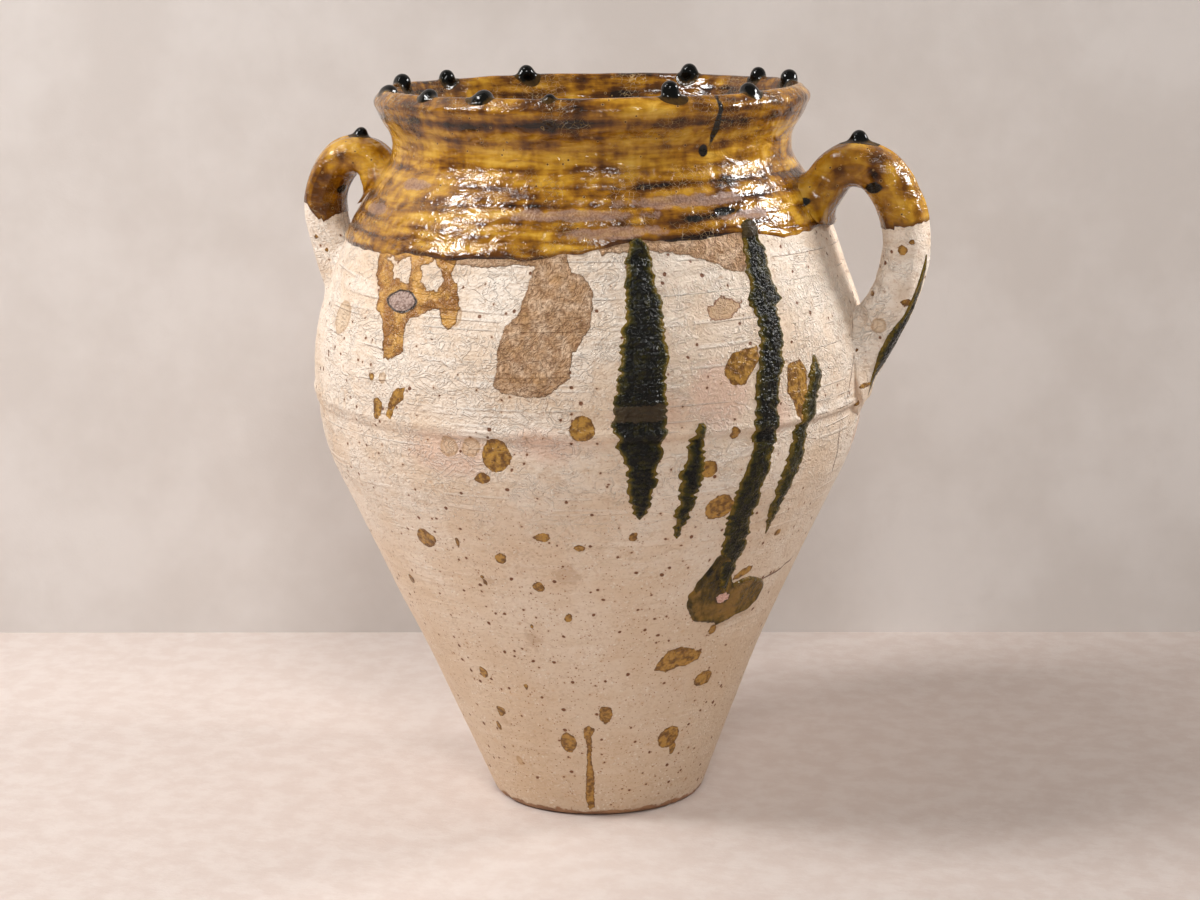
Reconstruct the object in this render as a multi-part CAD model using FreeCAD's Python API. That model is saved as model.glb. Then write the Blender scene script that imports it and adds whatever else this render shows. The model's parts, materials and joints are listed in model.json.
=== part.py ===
import FreeCAD, Part
import math
import os

# Confit jar: a tall two-handled earthenware pot, thrown in two sections on the wheel.
# It is dressed in white slip, dipped upside down in amber glaze as far as its shoulder,
# glazed inside, and set with black glaze pellets on its rim and on both handles.
# Millimetres. +Z is up, the foot stands on Z = 0 and the two handles lie along X.

# Thrown body. Its outline is straight stretches that meet in corners, each with its rounding.
lower_section_height = 196.0   # foot to the joint of the two thrown sections
upper_section_height = 144.5   # joint to the crest of the rim, before the crest is rounded
foot_radius = 50.5
foot_rounding = 4.0
cone_middle_radius = 81.8      # the cone is slightly hollow: its wall bends outward here
cone_middle_height = 78.0
cone_middle_rounding = 900.0
belly_radius = 130.0           # the widest part of the wall
belly_corner_inset = 2.4       # inside the widest part
belly_corner_drop = 18.0       # below the joint
belly_corner_rounding = 85.0
joint_step = 1.5               # the upper section stands out from the lower one at the joint
joint_ridge_height = 2.0       # the step's height above the joint
joint_ridge_rounding = 3.0
shoulder_rise = 33.0           # above the joint, where the belly turns in
shoulder_rounding = 100.0
shoulder_top_inset = 19.8      # inside the widest part
shoulder_top_drop = 26.0       # below the foot of the neck
shoulder_top_rounding = 90.0
neck_radius = 92.1             # the narrowest part, under the lip
neck_length = 10.0
neck_rounding = 15.0
lip_height = 32.5              # foot of the neck to the crest
lip_edge_radius = 101.0        # the outermost edge of the rolled lip
lip_edge_drop = 6.1            # below the crest
lip_edge_rounding = 3.0
crest_radius = 95.4
crest_rounding = 1.6
wall = 7.0
floor_thickness = 9.0
floor_rounding = 14.0          # inside, where the floor turns up into the wall

# Glaze
coat = 0.6                     # thickness of the amber glaze
glaze_line_drop = 65.5         # how far the rim was dipped, below the crest
glaze_overlap = 8.0            # how far the dipped coat comes down inside the crest
run_thickness = 1.4            # dark glaze that ran down over the slip

# Handles, each pulled as one strap. Its middle line is three straight stretches with two
# rounded corners, one over the arch and one at its farthest reach. Root and landing drops are
# measured from the foot of the neck.
strap_width = 26.0             # across the strap, along the jar's wall
root_flare = 8.0               # extra width where the strap meets the shoulder
root_share = 0.16              # the part of the strap that the flare takes
root_bury = 6.5                # how far the middle line runs into the wall
landing_width = 27.0           # the lower end is smeared on the wall
landing_thickness = 15.0
landing_share = 0.75           # where the strap begins to change to its smeared end
landing_bury = 12.0
corner_power = 2.7             # 2 makes the section an ellipse, more makes it squarer
strap_rings = 15               # sections that shape each strap

right_thickness = 18.5         # over the arch
right_lower_thickness = 21.0
right_root_drop = 25.8
right_arch_out = 20.9          # root to the arch's corner
right_arch_up = 34.8
right_arch_rounding = 15.5
right_stand_off = 26.0         # the reach's corner, outside the belly
right_reach_drop = 44.0        # the reach's corner, below the arch's
right_reach_rounding = 47.0
right_landing_drop = 114.4

left_thickness = 16.0
left_lower_thickness = 18.0
left_root_drop = 20.5
left_arch_out = 12.9
left_arch_up = 31.0
left_arch_rounding = 12.5
left_stand_off = 5.8
left_reach_drop = 29.5
left_reach_rounding = 28.0
left_landing_drop = 82.0

# Pellets: balls of black glaze that slumped on the crest as they melted
pellet_radius = 4.3
pellet_height = 5.2
worn_pellet_scale = 0.62
worn_pellet = 10               # counted from 1 round the rim
rim_pellet_angles = [28.0, 49.5, 76.4, 123.8, 150.8, 176.1, 205.0, 233.7, 253.2, 272.9, 307.7, 334.1]

# Runs of dark glaze: rows of height below the crest, shift along the wall, and width
first_run_angle = -65.0
first_run = [(64.0, 0.0, 9.0), (84.0, 0.0, 17.0), (138.0, 0.0, 23.0), (156.0, 0.0, 13.0), (179.0, -0.5, 4.0)]
second_run_angle = -38.5
second_run = [(58.0, 2.5, 10.0), (84.0, 4.5, 14.5), (122.0, 1.0, 14.0), (148.0, -0.5, 13.5),
              (180.0, -4.5, 14.5), (217.0, -3.5, 9.5)]
third_run_angle = -55.0
third_run = [(139.0, 2.0, 6.5), (157.0, 0.0, 9.5), (179.0, -1.5, 7.5), (191.0, -2.0, 3.0)]
fourth_run_angle = -29.0
fourth_run = [(123.0, 5.0, 8.5), (147.0, 0.0, 10.5), (169.0, -3.0, 11.0), (195.0, -3.5, 4.0)]
pool_angle = -36.0             # the second run ended in a pool
pool_drop = 230.0
pool_length = 38.0             # along the wall, level
pool_breadth = 26.0

# Derived places
joint_height = lower_section_height
jar_height = lower_section_height + upper_section_height
neck_height = jar_height - lip_height
glaze_line_height = jar_height - glaze_line_drop
belly_corner_radius = belly_radius - belly_corner_inset
joint_radius = belly_radius - joint_step
shoulder_top_radius = belly_radius - shoulder_top_inset
far = 8 * belly_radius
most_of_stretch = 0.98         # of a straight stretch may be taken up by the roundings at its ends

# Corners of the outside wall, from the foot up: radius, height, rounding
foot_corner = (foot_radius, 0.0, foot_rounding)
cone_middle = (cone_middle_radius, cone_middle_height, cone_middle_rounding)
belly_corner = (belly_corner_radius, joint_height - belly_corner_drop, belly_corner_rounding)
joint_edge = (joint_radius, joint_height, 0.0)
joint_ridge = (belly_radius, joint_height + joint_ridge_height, joint_ridge_rounding)
shoulder = (belly_radius, joint_height + shoulder_rise, shoulder_rounding)
shoulder_top = (shoulder_top_radius, neck_height - shoulder_top_drop, shoulder_top_rounding)
neck_foot = (neck_radius, neck_height, neck_rounding)
neck_top = (neck_radius, neck_height + neck_length, neck_rounding)
lip_edge = (lip_edge_radius, jar_height - lip_edge_drop, lip_edge_rounding)
crest = (crest_radius, jar_height, crest_rounding)

lower_wall = [foot_corner, cone_middle, belly_corner, joint_edge]
upper_wall = [joint_edge, joint_ridge, shoulder, shoulder_top, neck_foot, neck_top, lip_edge, crest]


def square_to(start, end):
    """Unit vector square to a stretch of wall, pointing out of the clay when walking up the outside."""
    step_x = end[0] - start[0]
    step_z = end[1] - start[1]
    length = math.hypot(step_x, step_z)
    return step_z / length, -step_x / length


def offset_wall(corners, offset):
    """The same wall moved square to itself, outward for a positive offset, with its roundings to suit."""
    normals = [square_to(a, b) for a, b in zip(corners, corners[1:])]
    moved = []
    for index, (radius, height, rounding) in enumerate(corners):
        before = normals[max(index - 1, 0)]
        after = normals[min(index, len(normals) - 1)]
        stretch = offset / (1 + before[0] * after[0] + before[1] * after[1])
        bulges = before[0] * after[1] - before[1] * after[0] > 0
        new_rounding = rounding + offset if bulges else rounding - offset
        new_radius = radius + stretch * (before[0] + after[0])
        new_height = height + stretch * (before[1] + after[1])
        moved.append((new_radius, new_height, max(new_rounding, 0.0) if rounding else 0.0))
    return moved


def vector(corner):
    return FreeCAD.Vector(corner[0], 0, corner[1])


def line(start, end):
    return Part.LineSegment(start, end).toShape()


def half_angles(corners):
    """Half the angle inside each corner, from the second to the last but one."""
    halves = []
    for before, corner, after in zip(corners, corners[1:], corners[2:]):
        back = vector(before) - vector(corner)
        ahead = vector(after) - vector(corner)
        halves.append(back.getAngle(ahead) / 2)
    return halves


def tangent_lengths(corners):
    """How far each corner's rounding reaches along its stretches, no farther than they have room for."""
    lengths = [corner[2] / math.tan(half) for corner, half in zip(corners[1:], half_angles(corners))]
    lengths = [0.0] + lengths + [0.0]
    for index in range(len(corners) - 1):
        room = most_of_stretch * (vector(corners[index + 1]) - vector(corners[index])).Length
        needed = lengths[index] + lengths[index + 1]
        if needed > room:
            lengths[index] *= room / needed
            lengths[index + 1] *= room / needed
    return lengths


def outline(corners):
    """Edges of straight stretches through the corners, with an arc of its own rounding at each."""
    edges = []
    at = vector(corners[0])
    lengths = tangent_lengths(corners)
    halves = half_angles(corners)
    for index, half_angle in enumerate(halves, start=1):
        point = vector(corners[index])
        if lengths[index] == 0.0:
            edges.append(line(at, point))
            at = point
            continue
        back = (vector(corners[index - 1]) - point).normalize()
        ahead = (vector(corners[index + 1]) - point).normalize()
        rounding = lengths[index] * math.tan(half_angle)
        middle = (back + ahead).normalize() * (rounding / math.sin(half_angle) - rounding)
        start = point + back * lengths[index]
        end = point + ahead * lengths[index]
        edges.append(line(at, start))
        edges.append(Part.Arc(start, point + middle, end).toShape())
        at = end
    edges.append(line(at, vector(corners[-1])))
    return edges


def spin(corners):
    """Solid of revolution about Z from the closed outline through the corners."""
    edges = outline(corners)
    edges.append(line(vector(corners[-1]), vector(corners[0])))
    face = Part.Face(Part.Wire(edges))
    return face.revolve(FreeCAD.Vector(0, 0, 0), FreeCAD.Vector(0, 0, 1), 360)


def point_at_height(start, end, height):
    """Where the line through two corners crosses a height."""
    share = (height - start[1]) / (end[1] - start[1])
    return start[0] + share * (end[0] - start[0])


def wall_radius(height):
    """Radius of the outside wall at a height."""
    corners = upper_wall if height > joint_height + joint_ridge_height else lower_wall
    wire = Part.Wire(outline(corners))
    level = line(FreeCAD.Vector(0, 0, height), FreeCAD.Vector(far, 0, height))
    return wire.distToShape(level)[1][0][0].x


def above(height):
    """A block that holds everything above a height."""
    return Part.makeBox(2 * far, 2 * far, far, FreeCAD.Vector(-far, -far, height))


def lower_inside():
    """Corners of the lower section's inside, from the joint down to the middle of the floor."""
    foot, middle, belly, top = offset_wall(lower_wall, -wall)
    joint_inside = (point_at_height(belly, top, joint_height), joint_height, 0.0)
    floor_corner = (point_at_height(foot, middle, floor_thickness), floor_thickness, floor_rounding)
    return [joint_inside, belly, middle, floor_corner, (0.0, floor_thickness, 0.0)]


def upper_inside():
    """Corners of the upper section's inside, from the crest down to the joint."""
    inner = offset_wall(upper_wall, -wall)
    return [inner[5], inner[4], inner[3], inner[2], (inner[2][0], joint_height, 0.0)]


def lower_body():
    """The lower thrown section: a flat foot, a slightly hollow cone and an open top."""
    return spin([(0.0, 0.0, 0.0)] + lower_wall + lower_inside())


def upper_body():
    """The upper thrown section: belly, shoulder, narrow neck and rolled lip."""
    return spin(upper_wall + upper_inside())


def filled(corners, offset=0.0):
    """Everything inside a wall, as far as the axis, up to the wall's last corner."""
    moved = offset_wall(corners, offset)
    return spin([(0.0, moved[0][1], 0.0)] + moved + [(0.0, moved[-1][1], 0.0)])


def coat_ring():
    """The dipped coat all round: up the shoulder and neck, over the lip and a little way inside."""
    inner_neck = upper_inside()[0]
    inner_end = jar_height - glaze_overlap
    overlap_end = (point_at_height(crest, inner_neck, inner_end), inner_end, 0.0)
    covered = upper_wall[2:] + [overlap_end]
    ring = spin(covered + list(reversed(offset_wall(covered, coat))))
    return ring.common(above(glaze_line_height))


def strap_path(root_drop, arch_out, arch_up, arch_rounding,
               stand_off, reach_drop, reach_rounding, landing_drop):
    """Middle line of a handle in the XZ plane, from the shoulder over the arch to the belly."""
    root_height = neck_height - root_drop
    landing_height = neck_height - landing_drop
    root = (wall_radius(root_height) - root_bury, root_height, 0.0)
    arch = (root[0] + arch_out, root_height + arch_up, arch_rounding)
    reach = (belly_radius + stand_off, arch[1] - reach_drop, reach_rounding)
    landing = (wall_radius(landing_height) - landing_bury, landing_height, 0.0)
    return outline([root, arch, reach, landing])


def along(path, share):
    """The point and the direction part of the way along a row of edges."""
    rest = share * sum(edge.Length for edge in path)
    index = 0
    while index < len(path) - 1 and rest > path[index].Length:
        rest -= path[index].Length
        index += 1
    edge = path[index]
    place = edge.getParameterByLength(min(rest, edge.Length))
    return edge.valueAt(place), edge.tangentAt(place)


def strap_section(path, share, thickness, width):
    """A squared oval set square to the strap's middle line, part of the way along it."""
    centre, direction = along(path, share)
    across = FreeCAD.Vector(0, 1, 0)
    outward = across.cross(direction)
    points = []
    for step in range(8):
        turn = math.pi * step / 4
        c = math.cos(turn)
        s = math.sin(turn)
        depth = math.copysign(abs(c) ** (2 / corner_power), c) * thickness / 2
        side = math.copysign(abs(s) ** (2 / corner_power), s) * width / 2
        points.append(centre + outward * depth + across * side)
    ring = Part.BSplineCurve()
    ring.interpolate(Points=points, PeriodicFlag=True)
    return Part.Wire([ring.toShape()])


def strap(path, thickness, lower_thickness, swell=0.0):
    """The whole strap before trimming, with its ends still inside the wall."""
    rings = []
    for index in range(strap_rings):
        share = index / (strap_rings - 1)
        at_root = max(1 - share / root_share, 0)
        at_landing = max((share - landing_share) / (1 - landing_share), 0)
        depth = thickness + (lower_thickness - thickness) * min(2 * share, 1)
        depth += (landing_thickness - lower_thickness) * at_landing
        width = strap_width + root_flare * at_root + (landing_width - strap_width) * at_landing
        rings.append(strap_section(path, share, depth + 2 * swell, width + 2 * swell))
    return Part.makeLoft(rings, True, False)


def biggest(shape):
    """The main solid that a cut leaves."""
    return max(shape.Solids, key=lambda solid: solid.Volume)


def turned(shape, degrees):
    copy = shape.copy()
    copy.rotate(FreeCAD.Vector(0, 0, 0), FreeCAD.Vector(0, 0, 1), degrees)
    return copy


def seated_pellet(scale, seat, angle, ground):
    """A ball in the XZ plane, sunk in its seat, cut to what it melted on and turned round the jar."""
    ball = Part.makeSphere(pellet_radius * scale)
    ball.translate(seat + FreeCAD.Vector(0, 0, (pellet_height - pellet_radius) * scale))
    for piece in ground:
        ball = ball.cut(piece)
    return turned(max(ball.Solids, key=lambda solid: solid.BoundBox.ZMax), angle)


def run_outline(route, angle):
    """A drip's face in the plane that stands off the wall at an angle: rounded ends, smooth sides."""
    left = []
    right = []
    for drop, shift, width in route:
        left.append(FreeCAD.Vector(far, shift - width / 2, jar_height - drop))
        right.append(FreeCAD.Vector(far, shift + width / 2, jar_height - drop))
    top_row = route[0]
    end_row = route[-1]
    top = FreeCAD.Vector(far, top_row[1], jar_height - top_row[0] + top_row[2] / 2)
    end = FreeCAD.Vector(far, end_row[1], jar_height - end_row[0] - end_row[2] / 2)
    ring = Part.BSplineCurve()
    ring.interpolate(Points=[top] + right + [end] + list(reversed(left)), PeriodicFlag=True)
    return turned(Part.Face(Part.Wire([ring.toShape()])), angle)


def towards_axis(angle):
    turn = math.radians(angle)
    return FreeCAD.Vector(-math.cos(turn), -math.sin(turn), 0) * far


def glaze_run(route, angle, band, coats):
    """A drip of dark glaze on the wall: the band all round the wall, cut to the drip's outline."""
    drip = run_outline(route, angle).extrude(towards_axis(angle) * 0.95)
    shape = drip.common(band)
    for piece in coats:
        shape = shape.cut(piece)
    return biggest(shape)


def pool_route():
    """An oval as rows of drop, shift and width."""
    rows = []
    for turn in (45, 90, 135):
        drop = pool_drop - math.cos(math.radians(turn)) * pool_breadth / 2
        rows.append((drop, 0.0, pool_length * math.sin(math.radians(turn))))
    return rows


def build():
    """Every piece of the jar, by name."""
    pieces = {"lower_body": lower_body(), "upper_body": upper_body()}
    jar_inside = filled(lower_wall).fuse(filled(upper_wall))
    glazed_inside = filled(upper_wall, coat)
    ring = coat_ring()
    right_path = strap_path(right_root_drop, right_arch_out, right_arch_up, right_arch_rounding,
                            right_stand_off, right_reach_drop, right_reach_rounding,
                            right_landing_drop)
    left_path = strap_path(left_root_drop, left_arch_out, left_arch_up, left_arch_rounding,
                           left_stand_off, left_reach_drop, left_reach_rounding,
                           left_landing_drop)
    sides = [("right", 0, right_path, (right_thickness, right_lower_thickness)),
             ("left", 180, left_path, (left_thickness, left_lower_thickness))]

    dip = ring
    sleeves = []
    for side, angle, path, thicknesses in sides:
        whole = strap(path, *thicknesses)
        swollen = strap(path, *thicknesses, coat)
        sleeve = swollen.common(above(glaze_line_height)).cut(glazed_inside).cut(whole)
        sleeves.append(turned(biggest(sleeve), angle))
        dip = dip.cut(turned(whole, angle))
        pieces[side + "_handle"] = turned(biggest(whole.cut(jar_inside)), angle)
        arch = path[1].Curve
        crown = arch.Center + FreeCAD.Vector(0, 0, arch.Radius + thicknesses[0] / 2 + coat)
        pieces[side + "_handle_pellet"] = seated_pellet(1.0, crown, angle, [swollen])
    pieces["dipped_glaze"] = biggest(biggest(dip).fuse(sleeves))

    seat = FreeCAD.Vector(crest_radius, 0, ring.BoundBox.ZMax)
    for number, angle in enumerate(rim_pellet_angles, start=1):
        scale = worn_pellet_scale if number == worn_pellet else 1.0
        melted = seated_pellet(scale, seat, angle, [pieces["upper_body"], ring])
        pieces["rim_pellet_%02d" % number] = melted

    whole_wall = lower_wall + upper_wall[1:4] + [(neck_radius, neck_height, 0.0)]
    band = spin(whole_wall + list(reversed(offset_wall(whole_wall, run_thickness))))
    pieces["glaze_run_1"] = glaze_run(first_run, first_run_angle, band, [ring])
    pieces["glaze_run_2"] = glaze_run(second_run, second_run_angle, band, [ring])
    pieces["glaze_run_3"] = glaze_run(third_run, third_run_angle, band, [])
    pieces["glaze_run_4"] = glaze_run(fourth_run, fourth_run_angle, band, [pieces["glaze_run_2"]])
    pieces["glaze_pool"] = glaze_run(pool_route(), pool_angle, band, [pieces["glaze_run_2"]])
    return pieces


os.makedirs("parts", exist_ok=True)
for name, shape in build().items():
    shape.exportStep(os.path.join("parts", name + ".step"))
    print(name, "solids", len(shape.Solids), "valid", shape.isValid(), "volume", round(shape.Volume))
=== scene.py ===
# %% [markdown]
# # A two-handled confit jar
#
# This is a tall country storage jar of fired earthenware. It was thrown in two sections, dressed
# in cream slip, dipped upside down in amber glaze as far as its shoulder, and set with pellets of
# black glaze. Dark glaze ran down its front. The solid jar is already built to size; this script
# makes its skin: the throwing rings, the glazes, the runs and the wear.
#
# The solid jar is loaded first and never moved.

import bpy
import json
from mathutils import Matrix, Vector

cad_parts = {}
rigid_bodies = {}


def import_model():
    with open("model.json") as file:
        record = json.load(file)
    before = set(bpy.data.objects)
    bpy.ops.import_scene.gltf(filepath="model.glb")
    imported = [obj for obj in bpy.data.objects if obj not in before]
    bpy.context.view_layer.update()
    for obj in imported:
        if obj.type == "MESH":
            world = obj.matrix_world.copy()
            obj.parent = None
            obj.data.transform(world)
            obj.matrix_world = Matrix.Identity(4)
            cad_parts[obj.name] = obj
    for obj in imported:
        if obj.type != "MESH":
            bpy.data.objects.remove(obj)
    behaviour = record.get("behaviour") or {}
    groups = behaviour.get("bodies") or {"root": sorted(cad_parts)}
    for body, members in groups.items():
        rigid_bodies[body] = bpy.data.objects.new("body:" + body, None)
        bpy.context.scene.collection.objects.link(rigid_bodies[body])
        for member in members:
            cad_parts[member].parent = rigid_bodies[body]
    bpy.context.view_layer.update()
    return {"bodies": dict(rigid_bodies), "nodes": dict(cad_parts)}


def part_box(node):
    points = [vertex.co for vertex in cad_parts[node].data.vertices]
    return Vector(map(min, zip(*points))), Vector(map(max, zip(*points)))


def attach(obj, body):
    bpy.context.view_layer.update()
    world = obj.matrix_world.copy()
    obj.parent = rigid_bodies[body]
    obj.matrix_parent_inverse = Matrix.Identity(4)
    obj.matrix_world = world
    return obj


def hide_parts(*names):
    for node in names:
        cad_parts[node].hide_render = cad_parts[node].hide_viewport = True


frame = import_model()
print("solid pieces:", len(frame["nodes"]))

# %% [markdown]
# ## The wall as one outline
#
# A thrown pot is a surface of revolution, so one outline describes it all: along the underside, up
# the outside, over the rim, down the inside and across the floor. The outline is a row of corners
# with a rounding each. A lathe modifier would do for the plain shape, but every later step needs to
# know where a place on the wall is, so the outline becomes a function of the distance walked along
# it. Sizes are in millimetres here, and become metres when a mesh is made.

# %% Sizes read from the solid
import json
import math

import bpy
import numpy as np
from mathutils import Matrix, Vector

METRES = 0.001           # sizes below are in millimetres, and Blender's are in metres
JOINT_STEP = 1.5         # the upper section stands this far proud of the lower one
joint_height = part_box("lower_body")[1].z / METRES
belly_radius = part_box("lower_body")[1].x / METRES + JOINT_STEP
jar_height = 340.5
neck_height = jar_height - 32.5
wall = 7.0
floor_height = 9.0
print("joint at", round(joint_height, 1), "mm, belly radius", round(belly_radius, 1), "mm")

# %% The outline's corners: radius, height, rounding
joint = (belly_radius - JOINT_STEP, joint_height, 0.0)
lower_wall = [(50.5, 0.0, 4.0), (81.8, 78.0, 900.0), (belly_radius - 2.4, joint_height - 18.0, 85.0), joint]
upper_wall = [joint, (belly_radius, joint_height + 2.0, 2.5), (belly_radius, joint_height + 33.0, 100.0),
              (belly_radius - 19.8, neck_height - 26.0, 90.0), (92.1, neck_height, 15.0),
              (92.1, neck_height + 10.0, 15.0), (101.0, jar_height - 6.1, 2.6), (95.4, jar_height, 1.8)]


def unit(way):
    """The same direction, one long."""
    return way / np.hypot(*way)


def square_to(start, end):
    """The direction out of the clay, for someone who walks up the outside of the wall."""
    step = np.subtract(end[:2], start[:2])
    return unit(np.array([step[1], -step[0]]))


def moved_wall(corners, offset):
    """The same corners, moved square to the wall."""
    out = [square_to(a, b) for a, b in zip(corners, corners[1:])]
    moved = []
    for index, corner in enumerate(corners):
        before = out[max(index - 1, 0)]
        after = out[min(index, len(out) - 1)]
        place = np.array(corner[:2]) + (before + after) * offset / (1 + before @ after)
        bulges = before[0] * after[1] > before[1] * after[0]
        rounding = corner[2] + (offset if bulges else -offset)
        moved.append((place[0], place[1], max(rounding, 0.0)))
    return moved


outline = [(0.0, 0.0, 0.0)] + lower_wall + upper_wall[1:]
outline += moved_wall(upper_wall, -wall)[5:1:-1] + moved_wall(lower_wall, -wall)[2:0:-1]
outline += [(45.5, floor_height, 14.0), (0.0, floor_height, 0.0)]
print("outline corners:", len(outline))

# %% Round the corners
ARC_STEP = 0.05          # radians between two points of an arc
SHARP = 0.01             # a rounding below this is left as a corner
STRAIGHT = 1.5707        # half the angle of a corner that doesn't turn


def rounded(corners):
    """Points of straight stretches through the corners, with an arc at each rounding."""
    points = [np.array(corners[0][:2])]
    for before, corner, after in zip(corners, corners[1:], corners[2:]):
        place = np.array(corner[:2])
        back = unit(np.array(before[:2]) - place)
        ahead = unit(np.array(after[:2]) - place)
        half = math.acos(np.clip(back @ ahead, -1, 1)) / 2
        if corner[2] < SHARP or half > STRAIGHT:
            points.append(place)
            continue
        middle = unit(back + ahead)
        side = unit(back - middle * (back @ middle))
        centre = place + middle * corner[2] / math.sin(half)
        reach = math.pi / 2 - half
        for turn in np.linspace(reach, -reach, max(6, int(2 * reach / ARC_STEP))):
            points.append(centre - (middle * math.cos(turn) - side * math.sin(turn)) * corner[2])
    points.append(np.array(corners[-1][:2]))
    return np.array(points)


def walked_to(points):
    """The distance from the first point to each point, along the row of points."""
    return np.concatenate([[0], np.cumsum(np.hypot(*np.diff(points, axis=0).T))])


outline_points = rounded(outline)
print("points on the outline:", len(outline_points))

# %% The outline as a walk
WALK_STEP = 0.25
walked = walked_to(outline_points)
walk = np.arange(0, walked[-1], WALK_STEP)
walk_radius = np.interp(walk, walked, outline_points[:, 0])
walk_height = np.interp(walk, walked, outline_points[:, 1])
walk_out_r = np.gradient(walk_height, walk)
walk_out_z = -np.gradient(walk_radius, walk)
top_step = int(np.argmax(walk_height))
crest_walk = walk[top_step]


def height_at(along):
    """The height of a place along the outline."""
    return np.interp(along, walk, walk_height)


def outside_walk(height):
    """How far along the outline a height on the outside is."""
    return np.interp(height, walk_height[:top_step], walk[:top_step])


def inside_walk(height):
    """How far along the outline a height on the inside is."""
    return np.interp(-np.asarray(height), -walk_height[top_step:], walk[top_step:])


def wall_radius(height):
    """The outside radius at a height."""
    return np.interp(outside_walk(height), walk, walk_radius)


print("outline is", round(walk[-1]), "mm long, crest at", round(crest_walk, 1), "mm, height",
      round(walk_height[top_step], 1))

# %% [markdown]
# ## Unevenness that is the same every time
#
# Clay is never quite true. A lattice of random numbers, smoothed between its corners, gives lumps of
# a chosen size. The numbers come from the corner's own place, so every run makes the same jar.

# %% Lumps of a chosen size
LOW_BITS = 0xFFFFFFFF
STIRS = ((15, 1274126177), (13, 1103515245))       # a shift and an odd factor each


def lattice(corner, seed):
    """A number from -1 to 1 for each whole-numbered corner of space."""
    cell = corner.astype(np.int64) * (73856093, 19349663, 83492791)
    mixed = (cell[..., 0] ^ cell[..., 1] ^ cell[..., 2] ^ (seed * 668265263)) & LOW_BITS
    for shift, factor in STIRS:
        mixed = ((mixed ^ (mixed >> shift)) * factor) & LOW_BITS
    return (mixed ^ (mixed >> 16)) / (LOW_BITS >> 1) - 1.0


def lumps(points, size, seed, layers=1):
    """Smooth unevenness about `size` millimetres across, from -1 to 1."""
    total = 0.0
    weight = 1.0
    for layer in range(layers):
        scaled = points * (2 ** layer / size)
        cell = np.floor(scaled)
        part = scaled - cell
        part = part * part * (3 - 2 * part)
        value = 0.0
        for corner in np.ndindex(2, 2, 2):
            share = np.prod(np.where(corner, part, 1 - part), axis=-1)
            value = value + share * lattice(cell + np.array(corner), seed + 17 * layer)
        total = total + weight * value
        weight /= 2
    return total


def eased(value, low, high):
    """0 below low, 1 above high, and smooth between."""
    share = np.clip((value - low) / (high - low), 0, 1)
    return share * share * (3 - 2 * share)


def hump(away, size):
    """1 at the middle, sinking to nothing about two sizes away."""
    return np.exp(-(away / size) ** 2)


print("a lump:", round(float(lumps(np.array([[1.0, 2.0, 3.0]]), 5.0, 1)[0]), 3))

# %% [markdown]
# ## Throwing rings and the wandering axis
#
# A potter's fingers climb as the wheel turns and leave one long spiral groove. On this jar it is deep
# on the shoulder and neck and nearly wiped away lower down. The jar also sagged a little as it dried,
# so its axis wanders to one side. Both belong in the mesh, because they show in the outline.

# %% Rings and sway, by height
RIGHT_OF_VIEW = math.radians(15)      # the viewer's right hand, turned from the handles' axis
FRONT = RIGHT_OF_VIEW - math.pi / 2
RING_PITCH = 7.2
INSIDE_RINGS = 0.35
ring_depth = [
    (0, 0.06), (20, 0.14), (150, 0.16), (198, 0.22), (250, 0.2), (264, 0.62), (300, 0.6), (312, 0.16),
    (326, 0.1), (341, 0.12)]
sway = [(0, -1.1), (50, -2.1), (100, -3), (150, -2.4), (200, -2.2), (255, -2), (300, -0.3), (345, 0)]


def table(rows, value, column=1):
    """Reads between the rows of a short list, by the first number of each row."""
    return np.interp(value, [row[0] for row in rows], [row[column] for row in rows])


def groove(turn, still):
    """0 on the flat of a throwing ring, 1 in the spiral groove between two rings."""
    phase = math.pi * still[..., 2] / RING_PITCH - turn / 2 + 0.8 * lumps(still, 38.0, 3)
    return (1 - np.abs(np.sin(phase)) ** 0.55) * np.clip(0.65 + 0.7 * lumps(still, 30.0, 4), 0.1, 1.2)


print("rings are", table(ring_depth, 280.0), "mm deep on the shoulder")

# %% Relief of the thrown wall
def around(radius, turn, height):
    """A point from its distance to the axis, its turn and its height."""
    return np.stack([radius * np.cos(turn), radius * np.sin(turn), height], axis=-1)


def swayed(x, y, height):
    """A point moved aside with the jar's wandering axis."""
    aside = table(sway, height)
    x = x + aside * math.cos(RIGHT_OF_VIEW)
    y = y + aside * math.sin(RIGHT_OF_VIEW)
    return np.stack([x, y, height], axis=-1)


def relief(turn, along, still):
    """How far the clay stands off the true outline, in millimetres."""
    outside = along < crest_walk
    height = still[..., 2]
    raised = 0.55 * lumps(still, 75.0, 1) + 0.22 * lumps(still, 26.0, 2)
    depth = np.where(outside, table(ring_depth, height), INSIDE_RINGS)
    raised = raised - depth * (groove(turn, still) - 0.3)
    raised = raised + 0.05 * lumps(still * np.array([0.4, 0.4, 1.0]), 2.6, 5)
    # the joint was smeared over in a tilted ridge, with a hollow under it
    ridge = height - (joint_height + 4.2 - 2.3 * np.cos(turn - RIGHT_OF_VIEW))
    step = 0.75 * hump(ridge, 1.9) - 0.55 * hump(ridge + 4.2, 2.0)
    raised = raised + step * outside * (0.8 + 0.5 * lumps(still, 24.0, 9))
    near_lip = eased(height, jar_height - 22, jar_height - 4)
    raised = raised + near_lip * (0.45 * lumps(still, 21.0, 6) + 0.25 * lumps(still, 7.0, 7))
    chips = eased(lumps(still, 9.0, 8, 2), 0.45, 1.0) * (1 - eased(height, 1.5, 6.0))
    underside = along < outside_walk(0.0)
    return np.where(underside, -0.05, raised - 1.5 * chips * outside)


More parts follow.
